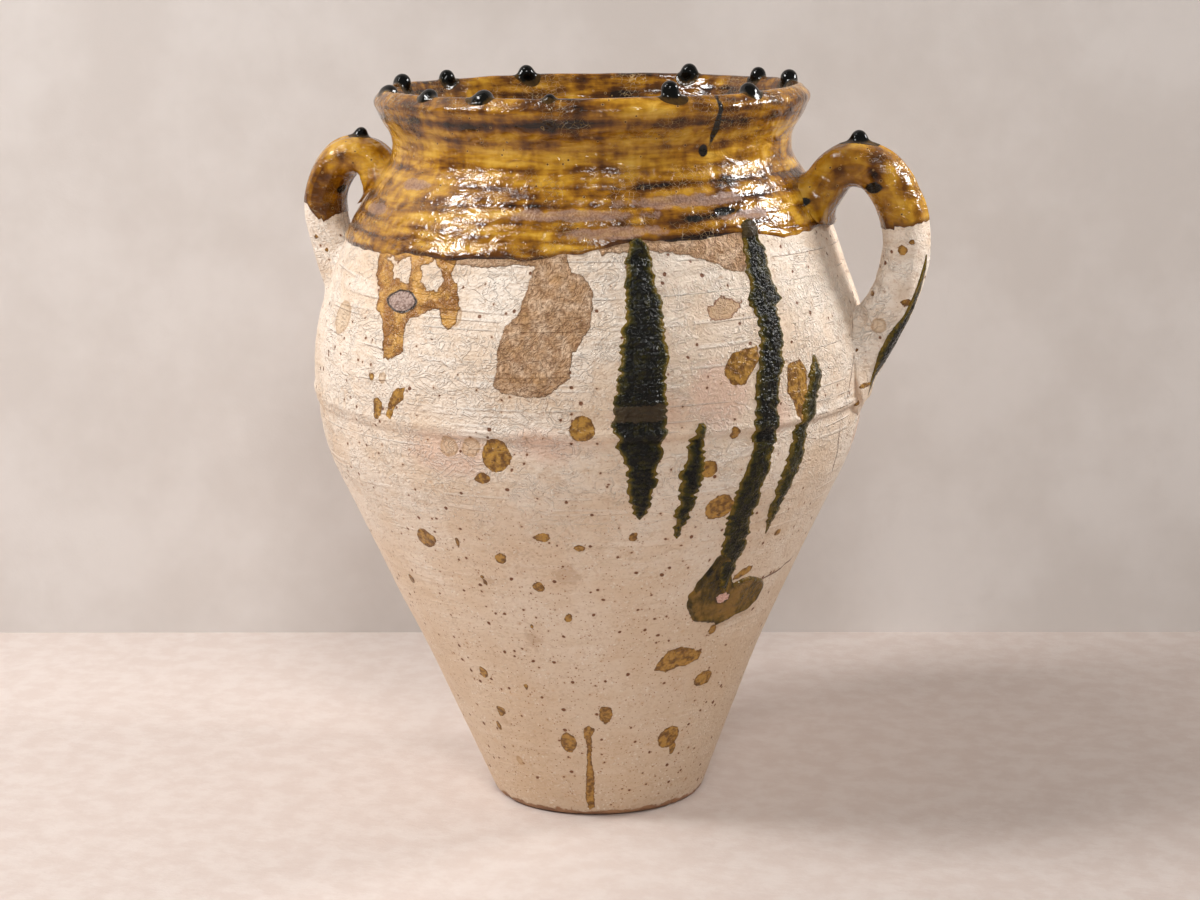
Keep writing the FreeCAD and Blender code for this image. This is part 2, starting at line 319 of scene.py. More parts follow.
def wall_point(turn, along, lift=0.0, worn=True):
    """A place on the jar in millimetres, for a turn round it and a distance along its outline."""
    turn, along = np.broadcast_arrays(turn, along)
    radius = np.interp(along, walk, walk_radius)
    height = height_at(along)
    raised = lift + (relief(turn, along, around(radius, turn, height)) if worn else 0.0)
    radius = np.maximum(radius + np.interp(along, walk, walk_out_r) * raised, 0.0)
    height = np.maximum(height + np.interp(along, walk, walk_out_z) * raised, 0.0)
    return swayed(radius * np.cos(turn), radius * np.sin(turn), height)


place = wall_point(np.array([FRONT]), np.array([outside_walk(230.0)]))
print("front of the belly:", np.round(place[0], 1))

# %% [markdown]
# ## Meshes from grids
#
# Every piece here is a closed grid: columns go round, rows go along, and the ends are either joined
# to each other or closed by one point. Faces made this way have no gaps. Columns are set closer at
# the front, where the marks are. A field is a number for each vertex, such as the distance to the
# edge of a stain, that a material reads later. Fields are distances, so their edges stay sharp. They
# are stored 20 mm up, so that a mesh that lacks a field reads as far outside the mark.

# %% Make a piece from a grid of points
FIELD_SHIFT = 20.0


def even_turns(count):
    return np.linspace(-math.pi, math.pi, count, endpoint=False)


def column_turns(count):
    """Turns round the jar, closest together at the front. One row of columns."""
    even = even_turns(count)[None, :]
    return even - 0.4 * np.sin(even - FRONT)


def make_piece(name, grid, replaced, material, ends, fields, normals=None, flip=False):
    """A named closed mesh that rides on the jar. The grid is rows x columns x 3, in millimetres.

    With two ends, a point closes each end of the grid. With none, its last row is joined to its first.
    """
    rows, columns = grid.shape[:2]
    index = np.arange(rows * columns).reshape(rows, columns)
    if ends is None:
        index = np.vstack([index, index[:1]])
    beside = np.roll(index, -1, axis=1)
    quads = np.stack([index[:-1], beside[:-1], beside[1:], index[1:]], axis=-1).reshape(-1, 4)
    vertices = grid.reshape(-1, 3)
    faces = quads.tolist()
    if ends is not None:
        vertices = np.vstack([vertices, np.array(ends, dtype=float)])
        first = rows * columns
        faces += [[b, a, first] for a, b in zip(index[0], beside[0])]
        faces += [[a, b, first + 1] for a, b in zip(index[-1], beside[-1])]
    if flip:
        faces = [face[::-1] for face in faces]
    mesh = bpy.data.meshes.new(name)
    mesh.from_pydata((vertices * METRES).tolist(), [], faces)
    mesh.shade_smooth()
    for field, values in fields.items():
        stored = np.clip(values.reshape(-1) + FIELD_SHIFT, 0, 2 * FIELD_SHIFT)
        spare = np.full(len(vertices) - len(stored), stored.mean())
        layer = mesh.attributes.new(field, "FLOAT", "POINT")
        layer.data.foreach_set("value", np.concatenate([stored, spare]).astype(np.float32))
    if normals is not None:
        spare = np.zeros((len(vertices) - rows * columns, 3))
        mesh.normals_split_custom_set_from_vertices(np.vstack([normals.reshape(-1, 3), spare]))
    mesh.materials.append(material)
    piece = bpy.data.objects.new(name, mesh)
    bpy.context.scene.collection.objects.link(piece)
    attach(piece, jar_body)
    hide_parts(*replaced)
    print(name, "faces", len(faces))
    return piece


jar_body = next(iter(frame["bodies"]))
print("everything rides on", jar_body)

# %% [markdown]
# ## Marks on the slip
#
# Amber glaze splashed on the slip in ovals, a patch of slip came away and left bare clay, and a glaze
# splash hangs under the dipping line with a grey kiln scar in it. Each mark is a turn round the jar in
# degrees, a height and a size, all in real sizes. A distance field is worked out for every vertex.

# %% Ovals of glaze: turn in degrees, height, width, tall
amber_spots = [
    (-46.4, 197.4, 5.2, 5.2), (-51.5, 182.2, 8.7, 8.7), (-47.6, 162.7, 14.6, 12), (-26.4, 142.7, 5.2, 3.5),
    (-38.4, 98.3, 5, 4.6), (-76.5, 203.8, 11, 11), (-93.5, 190.7, 13, 15.5), (-97, 179.8, 8.2, 5.5),
    (-115.9, 145.5, 11.2, 9), (-85.8, 152.5, 6.4, 4.6), (-96.4, 140.4, 5.6, 5.2), (-88.1, 126.5, 4.6, 5.3),
    (-81.1, 111.2, 3.6, 4.3), (-102.5, 129.3, 2.4, 2.4), (-102.1, 126.8, 2.4, 2.4), (-71.4, 58.2, 6.4, 9),
    (-86.1, 42.3, 7.7, 10.3), (-111.7, 55.8, 5.3, 4.8), (-113.6, 76.3, 4.6, 6.1), (-91.4, 106, 1.8, 2.6),
    (-98.2, 72, 2.2, 3), (-121.1, 205.9, 6, 9.8), (-122.6, 219.7, 3.4, 3.6), (-66, 152, 4.4, 3.4),
    (-130, 120, 4, 5), (-106.5, 146, 2.4, 5.2), (-116, 46.4, 2.9, 4.9), (-35.5, 71.1, 10.7, 8.5),
    (-44.8, 41.5, 11.4, 12), (-41.6, 34.5, 3.6, 7), (-78, 147.5, 4.8, 3.4), (5, 214, 9, 11),
    (28, 150, 7, 8), (52, 236, 12, 9), (77, 171, 8.5, 10), (95, 96, 6, 7.5), (118, 205, 9, 12),
    (141, 132, 7.5, 6), (160, 224, 7, 9.5), (-160, 168, 8, 7), (68, 52, 5, 7), (170, 75, 6.5, 5.5)]
ring_spots = [
    (-137, 241.1, 15.4, 13.8), (-119.6, 219.5, 4.4, 5), (-103.7, 193.1, 9.4, 9.5), (-98.9, 193.6, 8.8, 8.5),
    (-103, 248.6, 6, 8), (-111.3, 27.5, 4, 5.5), (40, 188, 12, 10), (124, 240, 13, 12)]
print("ovals:", len(amber_spots) + len(ring_spots))

# %% Drawn patches: turn and height of each corner
spot_patches = [
    [(-48.6, 225.7), (-47.2, 231.4), (-43.4, 234), (-40.9, 234.3), (-40.6, 229.1), (-42.1, 224.3),
     (-44.2, 217.9), (-46.5, 218.4), (-48.4, 222.3)],
    [(-33.4, 224.6), (-30.2, 225.4), (-28.1, 219.5), (-28, 208.8), (-28.2, 199), (-29.5, 197.1),
     (-31.2, 200.9), (-32.2, 208.4), (-33.8, 211.5)],
    [(-56, 80.5), (-55.4, 84.5), (-52.3, 90.5), (-48.1, 92.1), (-43.5, 89.5), (-39.5, 85.8), (-40.5, 82.5),
     (-46.1, 80.5), (-52.1, 79.5)],
    [(-115.6, 215.8), (-113, 217.8), (-113.6, 212), (-116.4, 206.8), (-117, 202), (-118.4, 203.5),
     (-118, 208.5)],
    [(-79.6, 51.5), (-77.4, 52.6), (-75.2, 50.2), (-76.6, 47), (-77.2, 38), (-77, 30), (-76.4, 20),
     (-77.2, 5), (-80, 3.6), (-81.4, 12), (-80.2, 22), (-79, 30), (-78.8, 40)],
    [(-37.5, 122.6), (-36.9, 125), (-34.8, 127.4), (-32.6, 129.2), (-30.8, 128.8), (-30.9, 126.8),
     (-33, 124.6), (-35.2, 122.8)]]
tan_patches = [
    [(-50.9, 250.2), (-47.2, 255.4), (-42.7, 252.6), (-42.7, 249.6), (-47.7, 246), (-50.1, 246.4)]]
bare_patch = [
    (-86.6, 280), (-80.6, 280), (-79.2, 268), (-76.3, 266), (-74.2, 259.5), (-74, 252.5), (-75.1, 245),
    (-78.7, 234.5), (-78.8, 225.5), (-80.6, 221.5), (-82.7, 218.6), (-86.1, 216.6), (-91.7, 218),
    (-93.4, 221.7), (-92.8, 235.7), (-92, 246.7), (-89.3, 252), (-88.3, 260), (-86.8, 270.5)]
splash_patch = [
    (-130.5, 282), (-129.5, 268), (-126.9, 260), (-124.4, 249.2), (-121.6, 242.3), (-119.8, 229.4),
    (-116.4, 229), (-114.1, 231.4), (-114.7, 244.2), (-112.1, 247.4), (-109.6, 250.6), (-107.3, 252.5),
    (-105.9, 247), (-104.2, 243.4), (-102.9, 245.6), (-102.2, 252.1), (-104.1, 259.6), (-105.5, 264),
    (-105.2, 282)]
splash_windows = [
    [(-126, 269), (-118.6, 271), (-117.3, 267.5), (-116.9, 261), (-121.8, 261.4), (-123.3, 266)],
    [(-114.4, 268), (-111, 271), (-108.6, 267.9), (-108, 262.4), (-109, 258.4), (-111.5, 259.6),
     (-113.6, 262.4)]]
brown_bands = [
    [(-74.5, 290), (-72.9, 275.2), (-64.3, 276.3), (-53.1, 273.7), (-47.9, 269.6), (-43.5, 265.2),
     (-40.3, 265), (-38, 270), (-37, 290)],
    [(-113, 290), (-112, 272), (-104, 270.2), (-97, 269.6), (-91, 271), (-85, 270), (-85, 290)],
    [(20, 290), (24, 272), (40, 270), (58, 273), (62, 290)]]
print("patches:", len(spot_patches) + len(tan_patches) + len(brown_bands) + 2)

# %% Other marks
# the scar, pink flushes and scuffs are ovals; a crack has its two ends; the line rises in millimetres
kiln_scar = [(-117.6, 253.2, 15.5, 8)]
cracks = [(-24, 118, -9, 122.4), (-13, 185, -11, 167.1), (-5.5, 234.2, -12.2, 202)]
line_rise = [
    (-180, 0), (-95, 0), (-77, 1), (-73, 4), (-64, 5.4), (-55, 4.6), (-47, 4.5), (-39, 5.3), (-33, 3),
    (-26, 0), (180, 0)]
pink_spots = [
    (-104, 190, 46, 22), (-50, 214, 30, 30), (-62, 208, 40, 18), (-36.5, 203, 16, 18), (-84, 196, 40, 14),
    (100, 210, 60, 40), (10, 180, 50, 40)]
scuffs = [
    (-81, 133, 18, 14), (-101, 128, 16, 7), (-72, 131, 7, 4), (-66, 142, 9, 6), (-70, 73.5, 26, 3.6),
    (-112, 50, 6, 8), (-92, 98, 12, 14), (60, 120, 20, 16), (150, 60, 16, 12)]
print("other marks:", len(kiln_scar) + len(cracks) + len(pink_spots) + len(scuffs))

# %% Distances to ovals and drawn patches
def turned_by(turn, degrees):
    """The way round from a mark to a place, in radians, the short way."""
    return (turn - math.radians(degrees) + math.pi) % (2 * math.pi) - math.pi


def oval_field(turn, height, ovals):
    """Millimetres inside the nearest oval. Outside it is negative."""
    best = np.full(np.shape(height), -FIELD_SHIFT)
    for degrees, middle, width, tall in ovals:
        across = turned_by(turn, degrees) * wall_radius(middle) / (width / 2)
        inside = (1 - np.hypot(across, (height - middle) / (tall / 2))) * min(width, tall) / 2
        best = np.maximum(best, inside)
    return best


def patch_field(turn, height, corners):
    """Millimetres inside a patch that is drawn by its corners."""
    middle_turn = sum(corner[0] for corner in corners) / len(corners)
    middle = sum(corner[1] for corner in corners) / len(corners)
    radius = float(wall_radius(middle))
    drawn = np.array([(math.radians(c[0] - middle_turn) * radius, c[1] - middle) for c in corners])
    across = turned_by(turn, middle_turn) * radius
    up = height - middle
    nearest = np.full(np.shape(height), np.inf)
    inside = np.zeros(np.shape(height), dtype=bool)
    for (ax, ay), (bx, by) in zip(drawn, np.roll(drawn, -1, axis=0)):
        share = ((across - ax) * (bx - ax) + (up - ay) * (by - ay)) / ((bx - ax) ** 2 + (by - ay) ** 2)
        share = np.clip(share, 0, 1)
        gap = np.hypot(across - ax - share * (bx - ax), up - ay - share * (by - ay))
        nearest = np.minimum(nearest, gap)
        if ay != by:
            crosses = (up < ay) != (up < by)
            inside ^= crosses & (across < ax + (up - ay) / (by - ay) * (bx - ax))
    return np.where(inside, nearest, -nearest)


def any_patch(turn, height, patches):
    """Millimetres inside the nearest of several drawn patches."""
    return np.maximum.reduce([patch_field(turn, height, patch) for patch in patches])


print("inside the bare patch:", round(float(patch_field(math.radians(-83), 240.0, bare_patch)), 1), "mm")

# %% Distances to cracks, and the dipping line
def crack_field(turn, height):
    """Millimetres to the nearest crack, with a sign for its two sides."""
    best = np.full(np.shape(height), FIELD_SHIFT)
    for turn_a, height_a, turn_b, height_b in cracks:
        radius = float(wall_radius((height_a + height_b) / 2))
        along = np.array([math.radians(turn_b - turn_a) * radius, height_b - height_a])
        long = np.hypot(*along)
        across = turned_by(turn, turn_a) * radius
        up = height - height_a
        reach = (across * along[0] + up * along[1]) / long
        aside = (up * along[0] - across * along[1]) / long
        beyond = np.maximum(np.maximum(-reach, reach - long), 0)
        value = np.where(aside < 0, -1.0, 1.0) * np.hypot(aside, beyond)
        best = np.where(np.abs(value) < np.abs(best), value, best)
    return best


def glaze_line(turn):
    """Height that the amber glaze reached: the jar hung a little askew in the glaze."""
    still = around(100, turn, 0 * turn)
    askew = 274.6 + 3.4 * np.cos(turn - math.radians(22)) + table(line_rise, np.degrees(turned_by(turn, 0)))
    return askew + 0.8 * lumps(still, 16.0, 21) + 0.6 * lumps(still, 5.0, 22)


print("glaze line at the front:", round(float(glaze_line(np.array([FRONT]))[0]), 1))

# %% Every mark on the wall
USUAL_RADIUS = 115.0     # lumps that bend the marks' edges are measured on a tube of this radius


def wall_fields(turn, along):
    """Every mark's field for places on the outside of the jar."""
    true_height = height_at(along)
    place = around(USUAL_RADIUS, turn, true_height)
    height = true_height + 0.8 * lumps(place, 6.5, 51, 2)
    turn = turn + 0.8 / USUAL_RADIUS * lumps(place, 6.5, 52, 2)
    ovals = {"spots": amber_spots, "rings": ring_spots, "scar": kiln_scar, "pink": pink_spots,
             "scuff": scuffs}
    fields = {name: oval_field(turn, height, rows) for name, rows in ovals.items()}
    fields["spots"] = np.maximum(fields["spots"], any_patch(turn, height, spot_patches))
    fields["tan"] = any_patch(turn, height, tan_patches)
    fields["bare"] = any_patch(turn, height, [bare_patch] + brown_bands)
    fields["splash"] = np.minimum(patch_field(turn, height, splash_patch),
                                  -any_patch(turn, height, splash_windows))
    fields["crack"] = crack_field(turn, height)
    fields["foot"] = true_height - 3.0
    return fields


print("fields:", ", ".join(wall_fields(np.zeros((1, 1)), np.full((1, 1), 200.0))))

# %% [markdown]
# ## Writing materials as sums
#
# A material is a web of nodes, but most of it is arithmetic. The small class below wraps a socket so
# that Python's own signs add the Math nodes. Everything else goes through one method, `add`, which
# takes a node's type, its settings and its sockets.

# %% A socket that can be added and multiplied
class Wire:
    """A socket that takes part in sums."""

    def __init__(self, finish, socket):
        self.finish = finish
        self.socket = socket

    def out(self, name):
        return Wire(self.finish, self.socket.node.outputs[name])

    def math(self, operation, *values):
        return self.finish.add("ShaderNodeMath", {"operation": operation}, dict(enumerate(values)))

    def __add__(self, other):
        return self.math("ADD", self, other)

    def __sub__(self, other):
        return self.math("SUBTRACT", self, other)

    def __rsub__(self, other):
        return self.math("SUBTRACT", other, self)

    def __mul__(self, other):
        return self.math("MULTIPLY", self, other)

    def __abs__(self):
        return self.math("ABSOLUTE", self)

    __radd__ = __add__
    __rmul__ = __mul__


def paint(colour):
    """A painter's red, green and blue from 0 to 255, as the linear values that light uses."""
    if isinstance(colour, Wire):
        return colour
    return (*[((v / 255 + 0.055) / 1.055) ** 2.4 if v > 10 else v / 3294.6 for v in colour], 1.0)


print("cream as light:", [round(v, 3) for v in paint((236, 224, 207))])

# %% A finish and its nodes
class Finish:
    """One material and the nodes in it."""

    def __init__(self, name):
        self.material = bpy.data.materials.new(name)
        self.material.use_nodes = True
        self.tree = self.material.node_tree
        self.tree.nodes.clear()
        self.space = self.add("ShaderNodeTexCoord").out("Object")
        self.space = self.add("ShaderNodeVectorMath", {"operation": "SCALE"}, {0: self.space, 3: 1 / METRES})

    def add(self, kind, settings=None, sockets=None, output=0):
        """A node with its settings, then the values or wires of its sockets. Gives the wire out of it."""
        node = self.tree.nodes.new(kind)
        for key, value in (settings or {}).items():
            if key == "stops":
                ramp = node.color_ramp
                while len(ramp.elements) < len(value):
                    ramp.elements.new(0.5)
                for element, (place, colour) in zip(ramp.elements, value):
                    element.position = place
                    element.color = colour
            else:
                setattr(node, key, value)
        for key, value in (sockets or {}).items():
            if isinstance(value, Wire):
                self.tree.links.new(value.socket, node.inputs[key])
            else:
                node.inputs[key].default_value = value
        return Wire(self, node.outputs[output]) if len(node.outputs) else node

    def field(self, name):
        """A number that was stored in the mesh."""
        return self.add("ShaderNodeAttribute", {"attribute_name": name}).out("Fac") - FIELD_SHIFT

    def stretched(self, x, y, z):
        return self.add("ShaderNodeVectorMath", {"operation": "MULTIPLY"}, {0: self.space, 1: (x, y, z)})

    def grain(self, size, detail=2.0, space=None, rough=0.5, twist=0.0):
        """Noise about `size` millimetres across, from 0 to 1."""
        sockets = {"Vector": space or self.space, "Scale": 1 / size, "Detail": detail,
                   "Roughness": rough, "Distortion": twist}
        return self.add("ShaderNodeTexNoise", None, sockets)

    def cells(self, size, feature="F1", space=None):
        """The distance to the nearest of many scattered points."""
        sockets = {"Vector": space or self.space, "Scale": 1 / size}
        return self.add("ShaderNodeTexVoronoi", {"feature": feature}, sockets)

    def step(self, value, low, high):
        """0 below low, 1 above high, smooth between. With low over high it is the other way round."""
        sockets = {0: value, 1: low, 2: high}
        return self.add("ShaderNodeMapRange", {"interpolation_type": "SMOOTHSTEP"}, sockets)

    def ramp(self, value, *stops):
        """A colour for each value, from places and colours."""
        stops = [(place, paint(colour)) for place, colour in stops]
        return self.add("ShaderNodeValToRGB", {"stops": stops}, {0: value})

    def blend(self, share, first, second):
        """One colour, or the other where the share is 1."""
        sockets = {0: share, 6: paint(first), 7: paint(second)}
        return self.add("ShaderNodeMix", {"data_type": "RGBA"}, sockets, output=2)

    def over(self, colour, *layers):
        """A colour with others laid over it in turn, each a share and a colour."""
        for share, layer in layers:
            colour = self.blend(share, colour, layer)
        return colour

    def shader(self, colour, rough, relief_mm, gloss=0.5):
        """A shader whose relief is in millimetres."""
        bump = self.add("ShaderNodeBump", None, {"Distance": METRES, "Height": relief_mm})
        sockets = {"Base Color": colour, "Roughness": rough, "Normal": bump, "Specular IOR Level": gloss}
        return self.add("ShaderNodeBsdfPrincipled", None, sockets)

    def close(self, shader):
        self.add("ShaderNodeOutputMaterial", None, {"Surface": shader})
        return self.material


def finished(name, layers, gloss=0.5):
    """A material made of one set of layers."""
    f = Finish(name)
    material = f.close(f.shader(*layers(f), gloss))
    print(name, "has", len(f.tree.nodes), "nodes")
    return material


print("ready to mix finishes")

# %% [markdown]
# ## Cream slip over brown clay
#
# Slip is liquid clay, brushed or poured on. It dries satin, with fine wrinkles, a scatter of pin-sized
# pits that show the brown body, warm stains and faint lines from the wheel. Where it broke away there
# is bare clay, and where glaze touched it there are glossy amber ovals with darker rims. The raised
# lines, worm ridges and crumbs are painted paler as painted highlights, and the hollows of the
# wrinkles and of the bare clay are painted darker as painted shade. All of it is layered as colour,
# roughness and height, so that the handles can use the same layers.

# %% Layers of the slip
def pin_pits(f, size, space, low, high, rare):
    """Pits in a few cells: the cells, which of them have one, and the pits."""
    cells = f.cells(size, space=space)
    pick = f.add("ShaderNodeSeparateColor", None, {0: cells.out("Color")})
    has_pit = f.step(pick, rare, rare + 0.02)
    return cells, has_pit, f.step(cells - pick.out("Green") * 0.1, low, high) * has_pit


def thin_lines(f, noise, low, high):
    """Lines where a noise passes through its middle value."""
    return 1 - f.step(abs(noise - 0.5), low, high)


def slip_layers(f, wheel_marks=1.0, light=(242, 229, 214)):
    """Colour, roughness and relief of the slip. The wall is rougher high up, where it was brushed last."""
    broad = f.grain(60.0, 3.0)
    cloud = f.grain(17.0, 4.0, rough=0.6)
    streak = f.grain(3.4, 3.0, f.stretched(0.12, 0.12, 1.0))
    fine = f.grain(1.1, 3.0)
    wrinkle = f.grain(2.6, 3.0, f.stretched(0.7, 0.7, 1.0), twist=1.8)
    crumbs_and_glints = f.step(f.cells(1.5, "SMOOTH_F1"), 0.34, 0.12) * f.step(f.grain(9.0, 2.0), 0.46, 0.6)
    height = f.add("ShaderNodeSeparateXYZ", None, {0: f.space}).out("Z")
    upper = f.step(height, 120.0, 205.0)
    worm = thin_lines(f, f.grain(6.5, 2.0, f.stretched(0.75, 0.75, 1.0), twist=1.8), 0.008, 0.07)
    worm = worm * f.step(f.grain(15.0, 2.0), 0.42, 0.54) * (upper * 0.85 + 0.15)
    line = thin_lines(f, f.grain(9.0, 1.0, f.stretched(0.03, 0.03, 1.0)), 0.005, 0.028)
    line = line * f.step(f.grain(26.0), 0.44, 0.54) * (upper * 0.8 + 0.2) * wheel_marks
    pink = f.step(f.field("pink") + cloud * 14 - 7, -3.0, 6.0)
    stain = f.step(f.field("scuff") + f.grain(3.0, 4.0) * 12 - 7.5, -1.0, 2.0)
    bent = f.add("ShaderNodeVectorMath", {"operation": "MULTIPLY_ADD"},
                 {0: f.grain(3.0, 2.0).out("Color"), 1: (1.3, 1.3, 1.3), 2: f.space})
    pits, has_pit, pit = pin_pits(f, 5.0, bent, 0.11, 0.06, 0.42)
    pit_small = pin_pits(f, 1.7, bent, 0.18, 0.09, 0.38)[2] * (1 - upper * 0.55)

    colour = f.over(
        (225, 201, 176),
        (f.step(broad * 0.6 + cloud * 0.4, 0.36, 0.63), light),
        (f.step(height, 210.0, 0.0) * 0.8, (204, 176, 144)),
        (f.step(streak, 0.5, 0.72) * 0.35, (212, 186, 156)),
        (f.step(cloud, 0.55, 0.72) * 0.45, (205, 170, 134)),
        (f.step(fine, 0.56, 0.72) * 0.3, (198, 168, 138)),
        (pink * 0.65, (222, 184, 162)),
        (stain * 0.35, (172, 134, 98)),
        # painted highlight: the raised wheel lines and worm ridges are painted paler
        (line * 0.4 + worm * 0.25, (250, 241, 230)),
        # painted shade: darker in the hollows of the wrinkles
        (f.step(wrinkle, 0.5, 0.3) * 0.35, (182, 146, 112)),
        # painted highlight: the raised crumbs are painted near white
        (crumbs_and_glints * 0.4, (250, 244, 234)),
        (pit_small * 0.8, (156, 100, 54)),
        (f.step(pits, 0.3, 0.1) * has_pit * 0.4, (196, 150, 106)),
        (pit * 0.95, (112, 62, 24)))
    rough = 0.50 + cloud * 0.2 - line * 0.08
    relief_mm = wrinkle * 1.0 + fine * 0.2 + streak * 0.5 + crumbs_and_glints * 0.4
    relief_mm = relief_mm * (upper * 0.6 + 0.4) + worm * 0.5 + line * 0.52 - pit * 0.25 - pit_small * 0.1
    return slip_marks(f, colour, rough, relief_mm, fine, cloud)


# %% Marks over the slip
def slip_marks(f, colour, rough, relief_mm, fine, cloud):
    """The marks' own layers. Each mark's field is roughened first, so that no edge is drawn clean."""
    ragged = f.grain(2.4, 3.0) * 2.4 - 1.2
    bare_edge = f.field("bare") + ragged
    bare = f.step(bare_edge, -0.15, 0.25)
    clay = f.over(
        (190, 148, 106),
        (f.step(f.grain(6.0, 4.0), 0.36, 0.68), (226, 192, 158)),
        (f.step(f.grain(2.2, 3.0), 0.56, 0.66) * 0.5, (138, 96, 58)),
        (f.step(f.grain(13.0, 2.0), 0.56, 0.68) * 0.4, (184, 134, 70)))
    worms = f.grain(4.2, 3.0, twist=2.5)
    foot = 1 - f.step(f.field("foot") + f.grain(5.0, 3.0) * 5 - 2.5, -0.6, 0.3)
    brown = f.blend(f.step(cloud, 0.4, 0.6), (140, 98, 68), (176, 132, 96))
    tan = f.field("tan") + ragged * 1.2 + f.grain(4.0, 3.0) * 4 - 2.0
    ring = f.field("rings") + ragged * 0.6
    spots = f.field("spots") + ragged * 0.5 + (f.grain(1.3, 2.0) - 0.5) * 0.8
    spot = f.step(spots, -0.1, 0.12)
    glaze = f.over(
        (112, 72, 16),
        (f.step(f.grain(2.8, 3.0), 0.36, 0.62), (180, 134, 56)),
        (f.step(spots, 1.1, 0.1) * f.step(f.grain(2.0), 0.4, 0.55) * 0.85, (104, 66, 20)),
        (f.step(f.cells(1.9), 0.24, 0.16) * 0.45, (66, 38, 12)))
    splash = f.field("splash") + ragged * 0.9 + f.grain(8.0, 3.0) * 6 - 3.0
    splashed = f.step(splash, -0.1, 0.15)
    amber = f.over(
        (150, 98, 34),
        (f.step(f.grain(7.0, 3.0), 0.4, 0.62), (204, 152, 72)),
        (f.step(splash, 1.2, 0.2) * 0.7, (120, 78, 30)))
    scar = f.field("scar") + ragged * 0.3
    scarred = f.step(scar, -0.1, 0.1)
    ash = f.blend(f.step(fine, 0.45, 0.6), (178, 152, 140), (134, 106, 94))
    cracked = f.step(abs(f.field("crack") + ragged * 0.25), 0.55, 0.25)

    colour = f.over(
        colour,
        (bare, clay),
        (bare * f.step(bare_edge, 1.3, 0.3) * 0.4, (132, 94, 64)),
        # painted shade: darker in the hollows of the bare clay's worm relief
        (bare * f.step(worms, 0.5, 0.4) * 0.6, (140, 98, 62)),
        (foot, brown),
        (f.step(tan, -0.1, 0.2) * 0.75, (190, 146, 96)),
        (f.step(tan, -0.3, 0.1) * f.step(tan, 0.9, 0.3) * 0.8, (128, 82, 48)),
        (f.step(ring, -0.5, 0.6) * 0.5, (206, 170, 124)),
        (f.step(ring, -0.4, 0.3) * f.step(ring, 1.8, 0.5) * 0.4, (160, 116, 70)),
        (spot, glaze),
        (splashed, amber),
        (f.step(scar, -1.1, -0.4), (48, 32, 22)),
        (scarred, ash),
        (cracked * 0.85, (104, 64, 34)))
    relief_mm = relief_mm - bare * 0.4 + bare * worms * 3.0 - foot * 0.25
    relief_mm = relief_mm * (1 - spot * 0.7) + spot * (0.25 + f.grain(1.7, 2.0) * 0.5)
    relief_mm = relief_mm + splashed * 0.3 + splashed * f.grain(3.0, 2.0) * 0.4
    relief_mm = relief_mm - cracked * 0.3 + scarred * 0.9
    rough = rough - spot * 0.3 - splashed * 0.32 + scarred * 0.25
    return colour, rough, relief_mm


cream_slip = finished("cream_slip", slip_layers)

# %% [markdown]
# ## Amber glaze
#
# Lead-bright honey glaze is see-through. It looks light where it is thin over a ridge and dark brown
# where it pooled in a groove, so its colour is a ramp driven by thickness. Thickness comes from the
# throwing grooves in the mesh plus noise; a field of painted shade also darkens the ramp under the
# lip, on the lip's bevel, inside the mouth and on the handles' inner faces, and it is darker near the
# glaze line. On top are a web of crackle with painted pale glints along its lines, pinholes, dull
# mauve streaks where the glaze crawled, and a mirror shine broken by long ripples.

# %% Layers of the amber glaze
AMBER_GLOSS = 0.42


